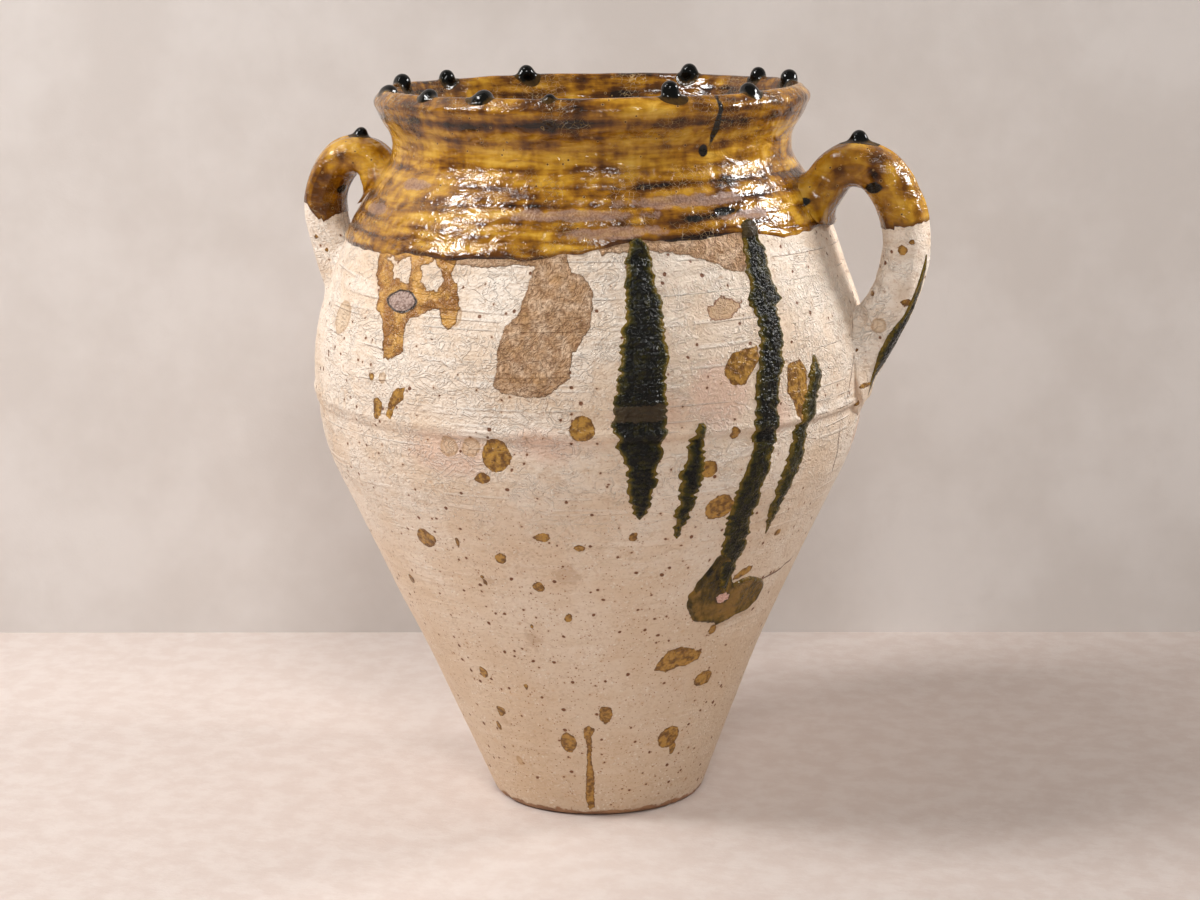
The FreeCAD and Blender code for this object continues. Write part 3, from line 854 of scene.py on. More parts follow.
def amber_layers(f, banded=1.05):
    """Colour, roughness and relief of the amber glaze."""
    ripple = f.grain(6.0, 3.0, f.stretched(0.5, 0.5, 1.0), twist=1.2)
    broad = f.grain(34.0, 3.0)
    mottle = f.grain(8.0, 4.0, rough=0.6)
    drip = f.grain(6.0, 2.0, f.stretched(1.0, 1.0, 0.12))
    fine = f.grain(0.9, 2.0)
    bands = f.grain(4.0, 3.0, f.stretched(0.15, 0.15, 1.0))
    thick = broad * 0.5 + mottle * 0.45 + drip * 0.45 + ripple * 0.35 + bands * banded - 0.875 - banded / 2
    thick = thick * 1.5 + 0.37 + f.field("groove") * 0.45
    # painted shade: the shade field darkens the ramp under the lip, on the bevel, inside the mouth, on the
    # handles' inner faces and near the glaze line
    thick = thick + f.step(f.field("shade"), 0.0, 6.0) * 0.5
    web = f.cells(2.5, "DISTANCE_TO_EDGE", f.stretched(1.0, 1.0, 1.3))
    # painted highlight: the crackle lines are painted pale as glints; their raised edges are bump
    crackle_and_glints = f.step(web + fine * 0.05, 0.065, 0.03) * f.step(f.grain(20.0, 3.0), 0.5, 0.62)
    pinholes = f.cells(4.6)
    hole = f.step(pinholes, 0.11, 0.07)
    crawl = f.step(f.field("crawl") + mottle * 5 - 2.5, -0.5, 0.8)
    black = f.step(f.field("smear") + mottle * 3 - 1.5, -0.3, 0.5)

    colour = f.over(
        f.ramp(thick, (0.0, (212, 166, 66)), (0.24, (188, 138, 36)), (0.46, (148, 98, 16)),
               (0.7, (92, 52, 8)), (1.0, (34, 17, 5))),
        (crackle_and_glints * 0.4, (222, 190, 130)),
        ((f.step(pinholes, 0.19, 0.14) - hole) * 0.25, (220, 180, 112)),
        (hole * 0.85, (60, 34, 16)),
        (crawl * 0.7, f.blend(f.step(fine, 0.4, 0.6), (166, 132, 112), (132, 98, 80))),
        (black, (20, 17, 12)))
    rough = 0.06 + crawl * 0.4 + crackle_and_glints * 0.12 + f.step(mottle, 0.56, 0.7) * 0.08
    relief_mm = ripple * 1.25 + mottle * 0.7 + f.grain(1.9, 2.0) * 0.12 + fine * 0.03
    relief_mm = relief_mm + crackle_and_glints * 0.2 - hole * 0.35
    relief_mm = relief_mm * (1 - f.step(f.field("calm"), 0.0, 1.0) * 0.75)
    return colour, rough, relief_mm


amber_glaze = finished("amber_glaze", amber_layers, AMBER_GLOSS)

# %% [markdown]
# ## Handles: slip below, glaze above
#
# The handles were dipped with the rim, so both finishes meet on them in one wavy line. One material
# carries both sets of layers, and the field `dip` says which shows.

# %% Two finishes on one strap
def handle_layers(f):
    """The slip's layers, and the amber glaze's where the handle was dipped."""
    # the handles' slip is painted paler than the body's, as painted light against the shade the jar casts on
    # them
    slip = slip_layers(f, 0.12, (252, 243, 232))
    amber = amber_layers(f, 0.2)
    edge = f.field("dip")
    dipped = f.step(edge + f.grain(3.0, 3.0) * 2.4 - 1.2, -0.12, 0.15)
    colour = f.over(slip[0], (dipped, amber[0]), (dipped * f.step(edge, 2.6, 0.4) * 0.6, (74, 42, 18)))
    rough = slip[1] + dipped * (amber[1] - slip[1])
    relief_mm = slip[2] + dipped * (amber[2] - slip[2]) + dipped * 0.2
    return colour, rough, relief_mm


dipped_handle = finished("dipped_handle", handle_layers, AMBER_GLOSS)

# %% [markdown]
# ## Black glaze and the runs
#
# The dark glaze is black where it is thick and olive brown where it thins out at an edge. The field
# `depth` holds its thickness in tenths of a millimetre, and a ramp turns that into colour. The runs
# also have dull greyish bands, where the glaze was too dry to melt flat.

# %% Dark glaze
def dark_finish(name, thin, middle, thick, ripple_mm):
    """Dark glaze in three colours from thin to thick, with ripples of a given depth."""
    def layers(f):
        mottle = f.grain(3.2, 3.0)
        fine = f.grain(0.8, 2.0)
        strands = f.grain(2.6, 3.0, f.stretched(1.0, 1.0, 0.22), twist=0.6)
        depth = f.field("depth") * 0.1 + mottle * 0.9 + strands * 1.1 - 1.0
        dull = f.step(f.field("dull") + mottle * 3 - 1.5, -0.1, 0.3)
        chip = f.step(f.field("chip") + f.grain(2.4, 2.0) * 4 - 2.0, -0.2, 0.1)
        colour = f.over(
            f.ramp(depth, (0.0, thin), (0.45, middle), (0.95, thick)),
            (dull * 0.7, (70, 56, 38)),
            (f.step(f.field("chip"), -1.2, -0.3) * 0.7, (40, 24, 16)),
            (chip, f.blend(f.step(fine, 0.4, 0.6), (196, 146, 132), (222, 186, 172))))
        rough = 0.04 + f.step(mottle, 0.5, 0.7) * 0.06 + dull * 0.4 + chip * 0.4
        ribs = f.grain(2.6, 3.0, f.stretched(0.6, 0.6, 1.0), twist=0.8)
        relief = ribs * 0.5 + mottle * 0.5 + f.grain(1.5, 2.0) * 0.8 + fine * 0.08
        return colour, rough, relief * ripple_mm

    return finished(name, layers, gloss=0.22)


run_glaze = dark_finish("run_glaze", (112, 90, 26), (54, 50, 12), (9, 9, 5), 1.6)
pool_glaze = dark_finish("pool_glaze", (136, 102, 46), (84, 66, 20), (26, 22, 10), 0.9)
bead_glaze = dark_finish("bead_glaze", (70, 50, 20), (16, 14, 9), (7, 7, 6), 0.12)

# %% [markdown]
# ## The thrown sections
#
# Each length of wall is a closed ring: the outside with all its relief, and a plain back inside the
# clay. The lower section is cut in two at mid height only to keep each mesh light. Their normals are
# worked out from the neighbouring rows on both sides, so the cut doesn't show.

# %% A closed length of wall
BACK = -3.5              # where the plain back lies inside the clay
SLIPPED = ("slipped_clay", cream_slip, wall_fields)


def with_ends(rows):
    """The rows with one more at each end, a step further on."""
    return np.concatenate([[2 * rows[0] - rows[1]], rows, [2 * rows[-1] - rows[-2]]])


def one_long(way):
    """The same directions in space, each one long."""
    return way / np.maximum(np.linalg.norm(way, axis=-1, keepdims=True), 1e-9)


def surface(turn, along, lift):
    """Points and outward normals for a grid of places on the wall."""
    wide = wall_point(turn, with_ends(along), with_ends(lift))
    across = np.roll(wide, -1, axis=1) - np.roll(wide, 1, axis=1)
    return wide[1:-1], one_long(np.cross(across[1:-1], wide[2:] - wide[:-2]))


def make_shell(name, finish, replaced, turn, along, behind, lift=0.0, back=BACK, closed=False,
               inside=False):
    """A ring of wall: its face with all the relief, and a plain back."""
    slot, material, read_fields = finish
    points, out = surface(turn, along, lift + 0 * along)
    plain = wall_point(turn, behind, back, worn=False)
    both = np.concatenate([along, behind])
    fields = read_fields(np.broadcast_to(turn, both.shape), both)
    normals = np.concatenate([-out if inside else out, np.zeros_like(plain)])
    ends = [points[0].mean(axis=0), plain[-1].mean(axis=0)] if closed else None
    if closed and not inside:
        ends[0][2] = 0.0
    return make_piece(name, np.concatenate([points, plain]), replaced, material, ends, fields,
                      normals, flip=inside)


print("a plain back lies", -BACK, "mm deep")

# %% Outside of the body
cone_top = float(outside_walk(104.0))
joint_walk = float(outside_walk(joint_height))
foot_edge = float(outside_walk(0.0))


def body_ring(name, foot_walk, top_walk, rows, columns, node):
    """A length of the slipped wall, from one place along the outline to another."""
    turn = column_turns(columns)
    along = np.linspace(foot_walk, top_walk, rows)[:, None] + 0 * turn
    return make_shell(name, SLIPPED, [node], turn, along, np.concatenate([along[::-12], along[:1]]))


def make_foot(rows, columns):
    """The foot and the cone: closed underneath, with its own floor inside."""
    turn = column_turns(columns)
    under = np.array([8.0, 20.0, 32.0, 40.0])
    edge = foot_edge - 6.0 + np.linspace(0, 9.0, 12)
    side = np.linspace(edge[-1], cone_top, rows)[1:]
    along = np.concatenate([under, edge, side])[:, None] + 0 * turn
    behind = np.linspace(cone_top, foot_edge + 6.0, 12)[:, None] + 0 * turn
    return make_shell("foot_and_cone", SLIPPED, ["lower_body"], turn, along, behind, closed=True)


make_foot(108, 700)
body_ring("lower_belly", cone_top, joint_walk + 0.4, 100, 900, "lower_body")
body_ring("upper_belly", joint_walk, float(outside_walk(283.0)), 92, 980, "upper_body")

# %% [markdown]
# ## The glazed collar and lining
#
# The dipped coat starts at the wavy glaze line with a rolled edge half a millimetre thick, climbs the
# shoulder, fills the hollow under the lip, turns over the crest and ends a little way inside. The
# lining is the same glaze, poured in and swilled round, from there down to the floor.

# %% Marks on the collar
mauve_streaks = [
    (-80, 290.5, 60, 5), (-70, 283.5, 40, 5), (-52, 295, 60, 5), (-35, 288, 26, 4), (-128, 300, 20, 5),
    (-140, 288, 30, 5), (60, 292, 60, 6), (150, 286, 50, 5)]
black_smears = [
    (-84, 339.6, 16, 2), (-124, 339.8, 14, 2), (28, 336, 12, 7), (150, 336.5, 13, 6), (-41.5, 327, 3.4, 24),
    (-43.5, 315.5, 5, 6), (-41, 290, 15, 3.4), (-50, 288, 8, 2.6)]


def glaze_fields(turn, along):
    """Fields for the amber glaze: how deep it pooled, painted shade, where it crawled and where black ran
    into it.
    """
    height = height_at(along)
    outside = along < crest_walk
    still = wall_point(turn, along, worn=False)
    pooled = groove(turn, still) * np.where(outside, table(ring_depth, height) / 0.6, 0.15)
    # painted shade: darker under the lip, on the lip's bevel and all over the inside; also darker near the
    # glaze line
    under_lip = 5.0 - np.abs(height - (jar_height - 11.8)) * 1.1
    near_edge = 3.0 - (height - glaze_line(turn)) * 1.2
    bevel = eased(height, jar_height - 10, jar_height - 7) * (1 - eased(height, jar_height - 1.5, jar_height))
    shade = np.maximum.reduce([under_lip, near_edge, 2.4 * bevel])
    return {"groove": pooled, "shade": np.where(outside, shade, 3.4),
            "calm": np.where(outside, -FIELD_SHIFT, FIELD_SHIFT),
            "crawl": np.where(outside, oval_field(turn, height, mauve_streaks), -FIELD_SHIFT),
            "smear": np.where(outside, oval_field(turn, height, black_smears), -FIELD_SHIFT)}


print("marks on the collar:", len(mauve_streaks) + len(black_smears))

# %% Collar and lining
COAT = 0.6
GLAZED = ("amber_glaze", amber_glaze, glaze_fields)
inner_edge = float(inside_walk(jar_height - 10.0))
floor_end = float(walk[-1]) - 4.0


def make_collar(rows, columns):
    """The dipped coat, from its rolled edge on the shoulder over the crest to the inside of the neck."""
    turn = column_turns(columns)
    start = outside_walk(glaze_line(turn)) - 0.3
    along = start + np.linspace(0, 1, rows)[:, None] * (inner_edge - start)
    from_edge = along - start
    rolled = 0.25 * hump(from_edge - 1.8, 1.4) - 0.25 * (1 - eased(from_edge, 0.0, 0.3))
    hollow = hump(height_at(along) - (jar_height - 14.0), 4.5) * (along < crest_walk)
    lift = COAT * np.sqrt(np.clip(from_edge, 0, 1)) + rolled + 0.5 * hollow
    behind = np.concatenate([along[::-10], along[:1]])
    return make_shell("glazed_collar", GLAZED, ["dipped_glaze", "upper_body"], turn, along, behind,
                      lift, -1.2)


def make_lining(rows, columns):
    """Rows climb from the middle of the floor to the inner edge of the collar, then go back down."""
    turn = even_turns(columns)[None, :]
    along = np.linspace(floor_end, inner_edge - 0.6, rows)[:, None] + 0 * turn
    return make_shell("glazed_lining", GLAZED, ["upper_body", "lower_body"], turn, along, along[::-8],
                      COAT * 0.9, -2.0, closed=True, inside=True)


make_collar(124, 700)
make_lining(210, 400)

# %% [markdown]
# ## The strap handles
#
# Each handle is a strap pulled from a lump of clay: bent over from the shoulder, pressed on the belly
# and smeared down until nothing stands off. Its section is a squared oval with a soft ridge along the
# outer face. It widens where it meets the wall, because the potter pressed the clay in. The two are
# not the same size, as handles made by eye never are. The path has the solid handle's corners.

# %% The straps' middle lines
STRAP_POWER = 2.5        # 2 would be a plain oval
STRAP_WIDTH = 26.0
STRAP_LENGTH = 200.0     # near enough, for pieces that are placed along a strap
straps = {
    "right": {"side": 1.0, "thick": 18.5, "lower": 21.0, "root_drop": 25.8, "arch": (20.9, 34.8, 15.5),
              "reach": (26.0, 44.0, 47.0), "landing_drop": 123.0,
              "line": [(118.0, 279.5), (138.1, 277.9), (148.1, 277.1), (157.9, 280.5), (165.0, 281.5)]},
    "left": {"side": -1.0, "thick": 16.0, "lower": 18.0, "root_drop": 20.5, "arch": (12.9, 31.0, 12.5),
             "reach": (5.8, 29.5, 28.0), "landing_drop": 82.0,
             "line": [(112.0, 282.0), (120.3, 281.4), (132.3, 276.5), (138.1, 284.0), (146.0, 285.0)]}}


def middle_line(strap):
    """Points of a strap's middle line: distance from the axis and height."""
    root_height = neck_height - strap["root_drop"]
    landing_height = neck_height - strap["landing_drop"]
    root = (float(wall_radius(root_height)) - 6.5, root_height, 0.0)
    arch = (root[0] + strap["arch"][0], root_height + strap["arch"][1], strap["arch"][2])
    reach = (belly_radius + strap["reach"][0], arch[1] - strap["reach"][1], strap["reach"][2])
    landing = (float(wall_radius(landing_height)) - 12.0, landing_height, 0.0)
    return rounded([root, arch, reach, landing])


def line_frame(strap, along):
    """A place on the middle line at a share of its length, and the way out of its outer face."""
    line = middle_line(strap)
    steps = walked_to(line)
    steps = steps / steps[-1]

    def at(share):
        return np.array([np.interp(share, steps, line[:, 0]), np.interp(share, steps, line[:, 1])])

    way = at(along + 0.012) - at(along - 0.012)
    way = way / np.maximum(np.hypot(*way), 1e-6)
    return at(along), -way[1], way[0]


for name, strap in straps.items():
    print(name, "strap's middle line is", round(walked_to(middle_line(strap))[-1]), "mm long")

# %% A place on a strap
def squared(value, power):
    """A power that keeps the sign. It turns a circle into a squared oval."""
    return np.sign(value) * np.abs(value) ** power


def face_turn(sideways):
    """The turn round a strap's section, for millimetres sideways on its outer face."""
    return np.arcsin(squared(np.clip(sideways / (STRAP_WIDTH / 2), -0.999, 0.999), STRAP_POWER / 2))


def off_wall(radius, side, height):
    """How far outside the belly a place is, measured from the axis."""
    return np.hypot(radius, side) - wall_radius(np.minimum(height, jar_height - 8))


def strap_point(strap, along, across, lift=0.0):
    """A place on the strap: share of its length, turn round its section, and a lift off its face.

    Near the wall the clay is pressed outward, and the lower end is smeared down flat on the belly.
    """
    along, across, lift = np.broadcast_arrays(along, across, lift)
    middle, out_r, out_z = line_frame(strap, along)
    root = np.clip(1 - along / 0.16, 0, 1)
    end = np.clip((along - 0.75) / 0.25, 0, 1)
    thick = strap["thick"] + (strap["lower"] - strap["thick"]) * np.clip(2 * along, 0, 1)
    thick = thick + (15.0 - strap["lower"]) * end
    width = STRAP_WIDTH + 8.0 * root + end
    c = np.cos(across)
    s = np.sin(across)
    deep = squared(c, 2 / STRAP_POWER)
    wide = squared(s, 2 / STRAP_POWER)
    # a soft ridge runs along the outer face, with a hollow beside it
    ridge = 0.9 * hump(wide - 0.12, 0.16) * (deep > 0) * eased(along, 0.05, 0.3)
    ridge = ridge - 0.5 * hump(wide + 0.45, 0.2) * (deep > 0) * eased(along, 0.3, 0.5)
    still = np.stack([middle[0] + 30 * c, 60 * strap["side"] + 30 * s, middle[1] + 0 * c], axis=-1)
    raised = 0.55 * lumps(still, 24.0, 31) + 0.3 * lumps(still, 9.0, 32) + 0.1 * lumps(still, 3.5, 33) + lift
    slope_deep = squared(c, 2 - 2 / STRAP_POWER) / thick
    slope_wide = squared(s, 2 - 2 / STRAP_POWER) / width
    steep = np.maximum(np.hypot(slope_deep, slope_wide), 1e-9)
    off = deep * thick / 2 + (ridge + raised * slope_deep / steep)
    side = wide * width / 2 + raised * slope_wide / steep
    gap = off_wall(middle[0] + out_r * off, side, middle[1] + out_z * off) * 0.93
    press = np.clip(1 - gap / 9.0, 0, 1.0) ** 3 * 5.5 * np.clip(1 + gap / 2.5, 0, 1)
    off = off + press * slope_deep / steep
    side = side + press * slope_wide / steep
    radius = middle[0] + out_r * off
    height = middle[1] + out_z * off
    smeared = np.maximum(off_wall(radius, side, height) + 1.4, 0) * eased(along, 0.85, 0.98)
    kept = 1 - smeared / np.hypot(radius, side)
    return swayed(strap["side"] * radius * kept, -side * kept, height)


for name, strap in straps.items():
    print(name, "strap's arch:", np.round(strap_point(strap, 0.3, 0.0), 1))

# %% Marks on the straps
strap_spots = {"right": [(147.3, 267.2, 4.6, 4.8), (151.3, 270.9, 2.6, 2.4), (149.0, 243.1, 4.6, 3.4),
                         (136.0, 259.0, 1.6, 1.8), (131.0, 205.0, 4.0, 2.4), (127.0, 197.0, 2.8, 3.4),
                         (127.5, 222.0, 1.8, 2.0), (133.4, 247.0, 2.2, 2.4), (122.0, 190.0, 2.4, 2.8)],
               "left": [(-134.0, 268.0, 2.4, 2.2), (-128.6, 262.0, 1.8, 2.0)]}
strap_rings = {"right": [(136.9, 232.7, 7.0, 7.0)], "left": []}
strap_pools = {"right": [(133.9, 294.9, 9.0, 6.0), (104.0, 289.0, 5.0, 4.0)],
               "left": [(-121.0, 290.0, 8.0, 5.0)]}
strap_dents = {"right": [(135.0, 251.0, 2.2, 1.4), (129.0, 234.4, 2.6, 1.8), (126.4, 226.0, 3.0, -1.6),
                         (131.0, 241.3, 2.4, -1.3), (144.0, 287.0, 4.0, 0.8), (150.0, 292.0, 3.0, 0.8)],
               "left": [(-118.0, 268.0, 3.0, 1.2)]}


def flat_ovals(points, ovals, shown):
    """Like the wall's ovals, but seen from the front of a handle: x, height, width and tall."""
    best = np.full(points.shape[:2], -FIELD_SHIFT)
    for x, z, width, tall in ovals:
        inside = 1 - np.hypot((points[..., 0] - x) / (width / 2), (points[..., 2] - z) / (tall / 2))
        best = np.maximum(best, inside * min(width, tall) / 2)
    return np.where(shown, best, -FIELD_SHIFT)


print("marks on the straps:", sum(len(row) for row in [*strap_spots.values(), *strap_pools.values()]))

# %% The two straps
def make_strap(side, rings, columns):
    """A closed strap with its dents, its raised coat of glaze and its marks."""
    strap = straps[side]
    along = np.linspace(0.012, 0.985, rings)[:, None]
    across = np.linspace(0, 2 * math.pi, columns, endpoint=False)[None, :]
    across = across + 0.18 * np.sin(4 * across) / 2
    points = strap_point(strap, along, across)
    front = points[..., 1] < 1.0
    dent = np.zeros(points.shape[:2])
    for x, z, size, deep in strap_dents[side]:
        dent = dent - deep * hump(np.hypot(points[..., 0] - x, points[..., 2] - z), size) * front
    dip = points[..., 2] - table(strap["line"], np.abs(points[..., 0])) + 1.2 * lumps(points, 8.0, 41)
    dip = dip + np.where(np.cos(across) < -0.2, 1.5, 0.0)
    points = strap_point(strap, along, across, dent + 0.4 * eased(dip, -0.3, 0.4))
    if strap["side"] < 0:
        points = points[:, ::-1]
        dip = dip[:, ::-1]
        front = front[:, ::-1]
    # painted shade on the strap's inner face, which faces the jar; the shade field is also darker near the
    # dipping line
    inner_shade = np.where(np.cos(across) < 0.1, 2.0, 0.0) + 0 * dip
    fields = {"dip": dip, "foot": 0 * dip + FIELD_SHIFT,
              "spots": flat_ovals(points, strap_spots[side], front),
              "rings": flat_ovals(points, strap_rings[side], front),
              "smear": flat_ovals(points, strap_pools[side], front),
              "groove": 0.05 + 0.5 * lumps(points, 7.0, 42, 2),
              "shade": np.maximum(inner_shade, 3.0 - dip),
              "scuff": -6.0 + 8.0 * lumps(points, 11.0, 43)}
    ends = [points[0].mean(axis=0), points[-1].mean(axis=0)]
    return make_piece(side + "_handle_strap", points, [side + "_handle", "dipped_glaze"],
                      dipped_handle, ends, fields, flip=strap["side"] > 0)


make_strap("right", 300, 140)
make_strap("left", 250, 130)

# %% [markdown]
# ## Runs of dark glaze
#
# A run is a bead of glaze that crept down in steps, and each step froze as a rib. The edges stuck to
# the slip unevenly, so small lumps make teeth along them. A run is a closed strip that stands off the
# wall, with its edges just under the slip. How deep the glaze is there is worked out from the distance
# to the edge and kept as a field, so the edges look olive.

# %% Make a run on the wall
RIB = 2.25               # from one frozen rib to the next


def run_edges(line, width, seed, ragged):
    """How far each edge of a run is from its middle: wavy, with lumps for teeth."""
    edges = []
    for side in (0, 1):
        tooth = 1.1 * lumps(line, 1.4, seed + side) + 0.5 * lumps(line, 3.6, seed + 4 + side)
        tooth = ragged * (tooth + 0.6 * lumps(line, 9.0, seed + 12 + side))
        edge = width / 2 * (1 + 0.06 * lumps(line, 11.0, seed + 8 + side)) + tooth * eased(width, 2.0, 6.0)
        edges.append(np.maximum(edge, 0.25)[:, None])
    return edges


def make_run(name, replaced, base, rows, seed, full=1.3, caps=(), tint=10.0, dull=None, ragged=1.2):
    """A raised strip. Each row is height (or distance), sideways place and width, in millimetres."""
    rows = sorted(rows)
    low, high = rows[0][0], rows[-1][0]
    lengths = np.linspace(low, high, int((high - low) / 0.34))
    middle = table(rows, lengths)[:, None]
    width = table(rows, lengths, 2)
    line = np.stack([lengths, 0 * lengths + seed * 9.7, 0 * lengths], axis=-1)
    left, right = run_edges(line, width, seed, ragged)
    wave = 0.5 * lumps(line, 7.0, seed)[:, None]
    narrow = np.clip(width / 7.0, 0.25, 1.0)[:, None]
    lengths = lengths[:, None]
    top = np.linspace(-1, 1, 33)[None, :]
    reach = np.where(top < 0, left, right)
    across = top * reach
    spread = np.stack([lengths + 0 * across, across + seed * 3.1, 0 * across], axis=-1)
    flow = lengths / RIB + 0.45 * np.abs(top) ** 1.5 + wave + 0.55 * lumps(spread, 4.5, seed + 3)
    rib = (0.5 + 0.5 * np.cos(2 * math.pi * flow)) ** 0.8 * (0.75 + 0.45 * lumps(spread, 5.0, seed + 5))
    body = np.clip(1 - np.abs(top) ** 2.4, 0, 1) ** 0.55 + 0 * across
    lift = full * body * narrow * (0.84 + 0.16 * rib + 0.3 * lumps(spread, 2.6, seed + 6)) - 0.12
    for place_at, tall, bulk in caps:
        lift = lift + bulk * hump(lengths - place_at, tall) * body
    under = across[:, -2:0:-4]
    points = base(lengths, middle + across, lift)
    grid = np.concatenate([points, base(lengths, middle + under, 0 * under - 0.9)], axis=1)
    depth = (0.1 + 0.9 * eased((1 - np.abs(top)) * reach, 0.3, 3.6)) * tint * (0.8 + 0.2 * (1 - rib))
    depth = np.concatenate([depth, 0 * under], axis=1)
    matte = np.full(grid.shape[:2], -FIELD_SHIFT)
    if dull:
        matte = matte + FIELD_SHIFT + dull[1] - np.abs(lengths - dull[0])
    ends = [grid[0].mean(axis=0), grid[-1].mean(axis=0)]
    return make_piece(name, grid, replaced, run_glaze, ends, {"depth": depth, "dull": matte})


def on_wall(lengths, sideways, lift):
    """Sideways is in millimetres round the wall from the front, so a run keeps its width."""
    return wall_point(sideways / wall_radius(lengths), outside_walk(lengths), lift)


def drip_rows(rows):
    """Rows of height, turn in degrees and width, as rows with the turn in millimetres."""
    return [(height, math.radians(turn) * float(wall_radius(height)), width) for height, turn, width in rows]


print("a run's ribs are", RIB, "mm apart")

# %% The runs down the front: height, turn and width
first = [
    (281, -64.6, 4), (279.4, -64.7, 8), (276.7, -64.7, 9.5), (268, -64.5, 12.5), (256.3, -64.3, 17.1),
    (236.1, -64.8, 19.3), (215.1, -65.4, 22.2), (202.2, -65.6, 23.2), (190.9, -65.5, 18.2),
    (184.2, -65.4, 13), (170.1, -65.1, 9.7), (163, -65.1, 5.5), (160.5, -65.1, 0.8)]
second = [
    (286, -36, 3), (284, -36.1, 8), (280.7, -36.2, 10.2), (269, -36.5, 12.7), (256.2, -35.8, 14.9),
    (252, -36.2, 18), (249, -36.5, 13.4), (239.6, -36.7, 13.4), (218.6, -38.5, 14.5), (205.6, -39.2, 13.2),
    (191.9, -39, 13.7)]
second_low = [
    (194, -39, 12), (191, -39, 13.7), (174, -40.6, 13.7), (159.9, -41.5, 14.8), (139.3, -40.2, 14.4),
    (131, -40.5, 11), (124.5, -39.9, 7), (120, -39.2, 5.6), (117.5, -38.8, 1.5)]
third = [
    (203.4, -53.8, 2.5), (201.4, -53.8, 5.8), (182.6, -55.1, 9.4), (161.3, -56, 7.5), (151.5, -56.2, 4),
    (149.5, -56.2, 0.8)]
fourth = [
    (226, -25.4, 2), (220, -25.4, 7), (215.6, -25.6, 8.9), (193.2, -29, 10.2), (170.6, -30.9, 10.5),
    (155, -31.6, 7), (144.5, -31.2, 1)]
# name, solid run, rows, seed, thickness, caps (height, tall, bulk), tint, dull band (height, half its width)
runs = [("first", 1, first, 51, 1.5, [(276.6, 2.6, 1.6)], 10.0, (209.5, 3.6)),
        ("second", 2, second, 61, 1.4, [(281.0, 2.4, 1.8)], 10.0, (281.5, 3.0)),
        ("second_tail", 2, second_low, 65, 1.1, [(122.0, 7.0, 1.3)], 8.0, None),
        ("third", 3, third, 71, 1.2, [(200.4, 2.2, 1.5)], 8.5, None),
        ("fourth", 4, fourth, 81, 1.0, [(217.5, 3.0, 1.0)], 6.0, None)]
for name, solid, rows, *shape in runs:
    make_run("glaze_run_" + name, ["glaze_run_%d" % solid], on_wall, drip_rows(rows), *shape)

# %% The run on the right handle
handle_run = [
    (98, 5.2, 0.8), (104, 5.2, 2.6), (112, 5.4, 4.2), (129, 5.6, 5.4), (134, 6.4, 7.6), (141, 6.8, 9),
    (152, 6.8, 8.6), (160, 6.4, 6.4), (168, 6, 4), (176, 5.6, 0.8)]


def on_right_handle(lengths, sideways, lift):
    """Along the outer face of the right handle, in millimetres from its root."""
    return strap_point(straps["right"], lengths / STRAP_LENGTH, face_turn(sideways), lift + 0.3)


make_run("handle_run", ["right_handle"], on_right_handle, handle_run, 91, 0.9, tint=13.0, ragged=0.2)

# %% [markdown]
# ## The pool at the end of the second run
#
# The longest run stopped low on the cone and spread into a puddle with a lobed edge. It is a round
# sheet of rows inside the puddle's outline, thicker just inside its edge, where glaze heaps up.

# %% The pool's outline: turn and height of its corners
pool_outline = [
    (-43.8, 138.8), (-46.2, 130.4), (-48.4, 124.2), (-49.8, 118.8), (-49.2, 112.8), (-46.9, 104.6),
    (-43.4, 103.6), (-36.3, 100.1), (-31.7, 102.5), (-26.4, 104), (-22.9, 108.3), (-21.8, 114.7),
    (-24.2, 119.1), (-29, 122.2), (-33.3, 122.8), (-36.6, 120.9), (-38, 126), (-40, 136)]
pool_turn, pool_height = -38.5, 112.5
pool_radius = float(wall_radius(pool_height))
pink_chip = (-38.7, 114.8, 6.4, 4.4)
dark_streak = (-44.0, 124.0, 12.0, 22.0)


def pool_reach(ways):
    """How far the outline is from the pool's middle, each way. Its corners are softened and uneven."""
    drawn = np.array([(math.radians(t - pool_turn) * pool_radius, z - pool_height) for t, z in pool_outline])
    reach = np.full(len(ways), 1.0)
    for (ax, ay), (bx, by) in zip(drawn, np.roll(drawn, -1, axis=0)):
        cross = np.cos(ways) * (by - ay) - np.sin(ways) * (bx - ax)
        cross = np.where(np.abs(cross) < 1e-9, 1e-9, cross)
        far = (ax * (by - ay) - ay * (bx - ax)) / cross
        share = np.where(np.abs(bx - ax) > np.abs(by - ay), (far * np.cos(ways) - ax) / (bx - ax + 1e-9),
                         (far * np.sin(ways) - ay) / (by - ay + 1e-9))
        reach = np.where((far > 0) & (share >= 0) & (share <= 1), np.maximum(reach, far), reach)
    softener = np.array([0.1, 0.2, 0.4, 0.2, 0.1])
    reach = np.convolve(np.concatenate([reach[-2:], reach, reach[:2]]), softener, "valid")
    return reach + 0.7 * lumps(around(20, ways, 0 * ways), 3.0, 101, 2)


print("corners of the pool:", len(pool_outline))

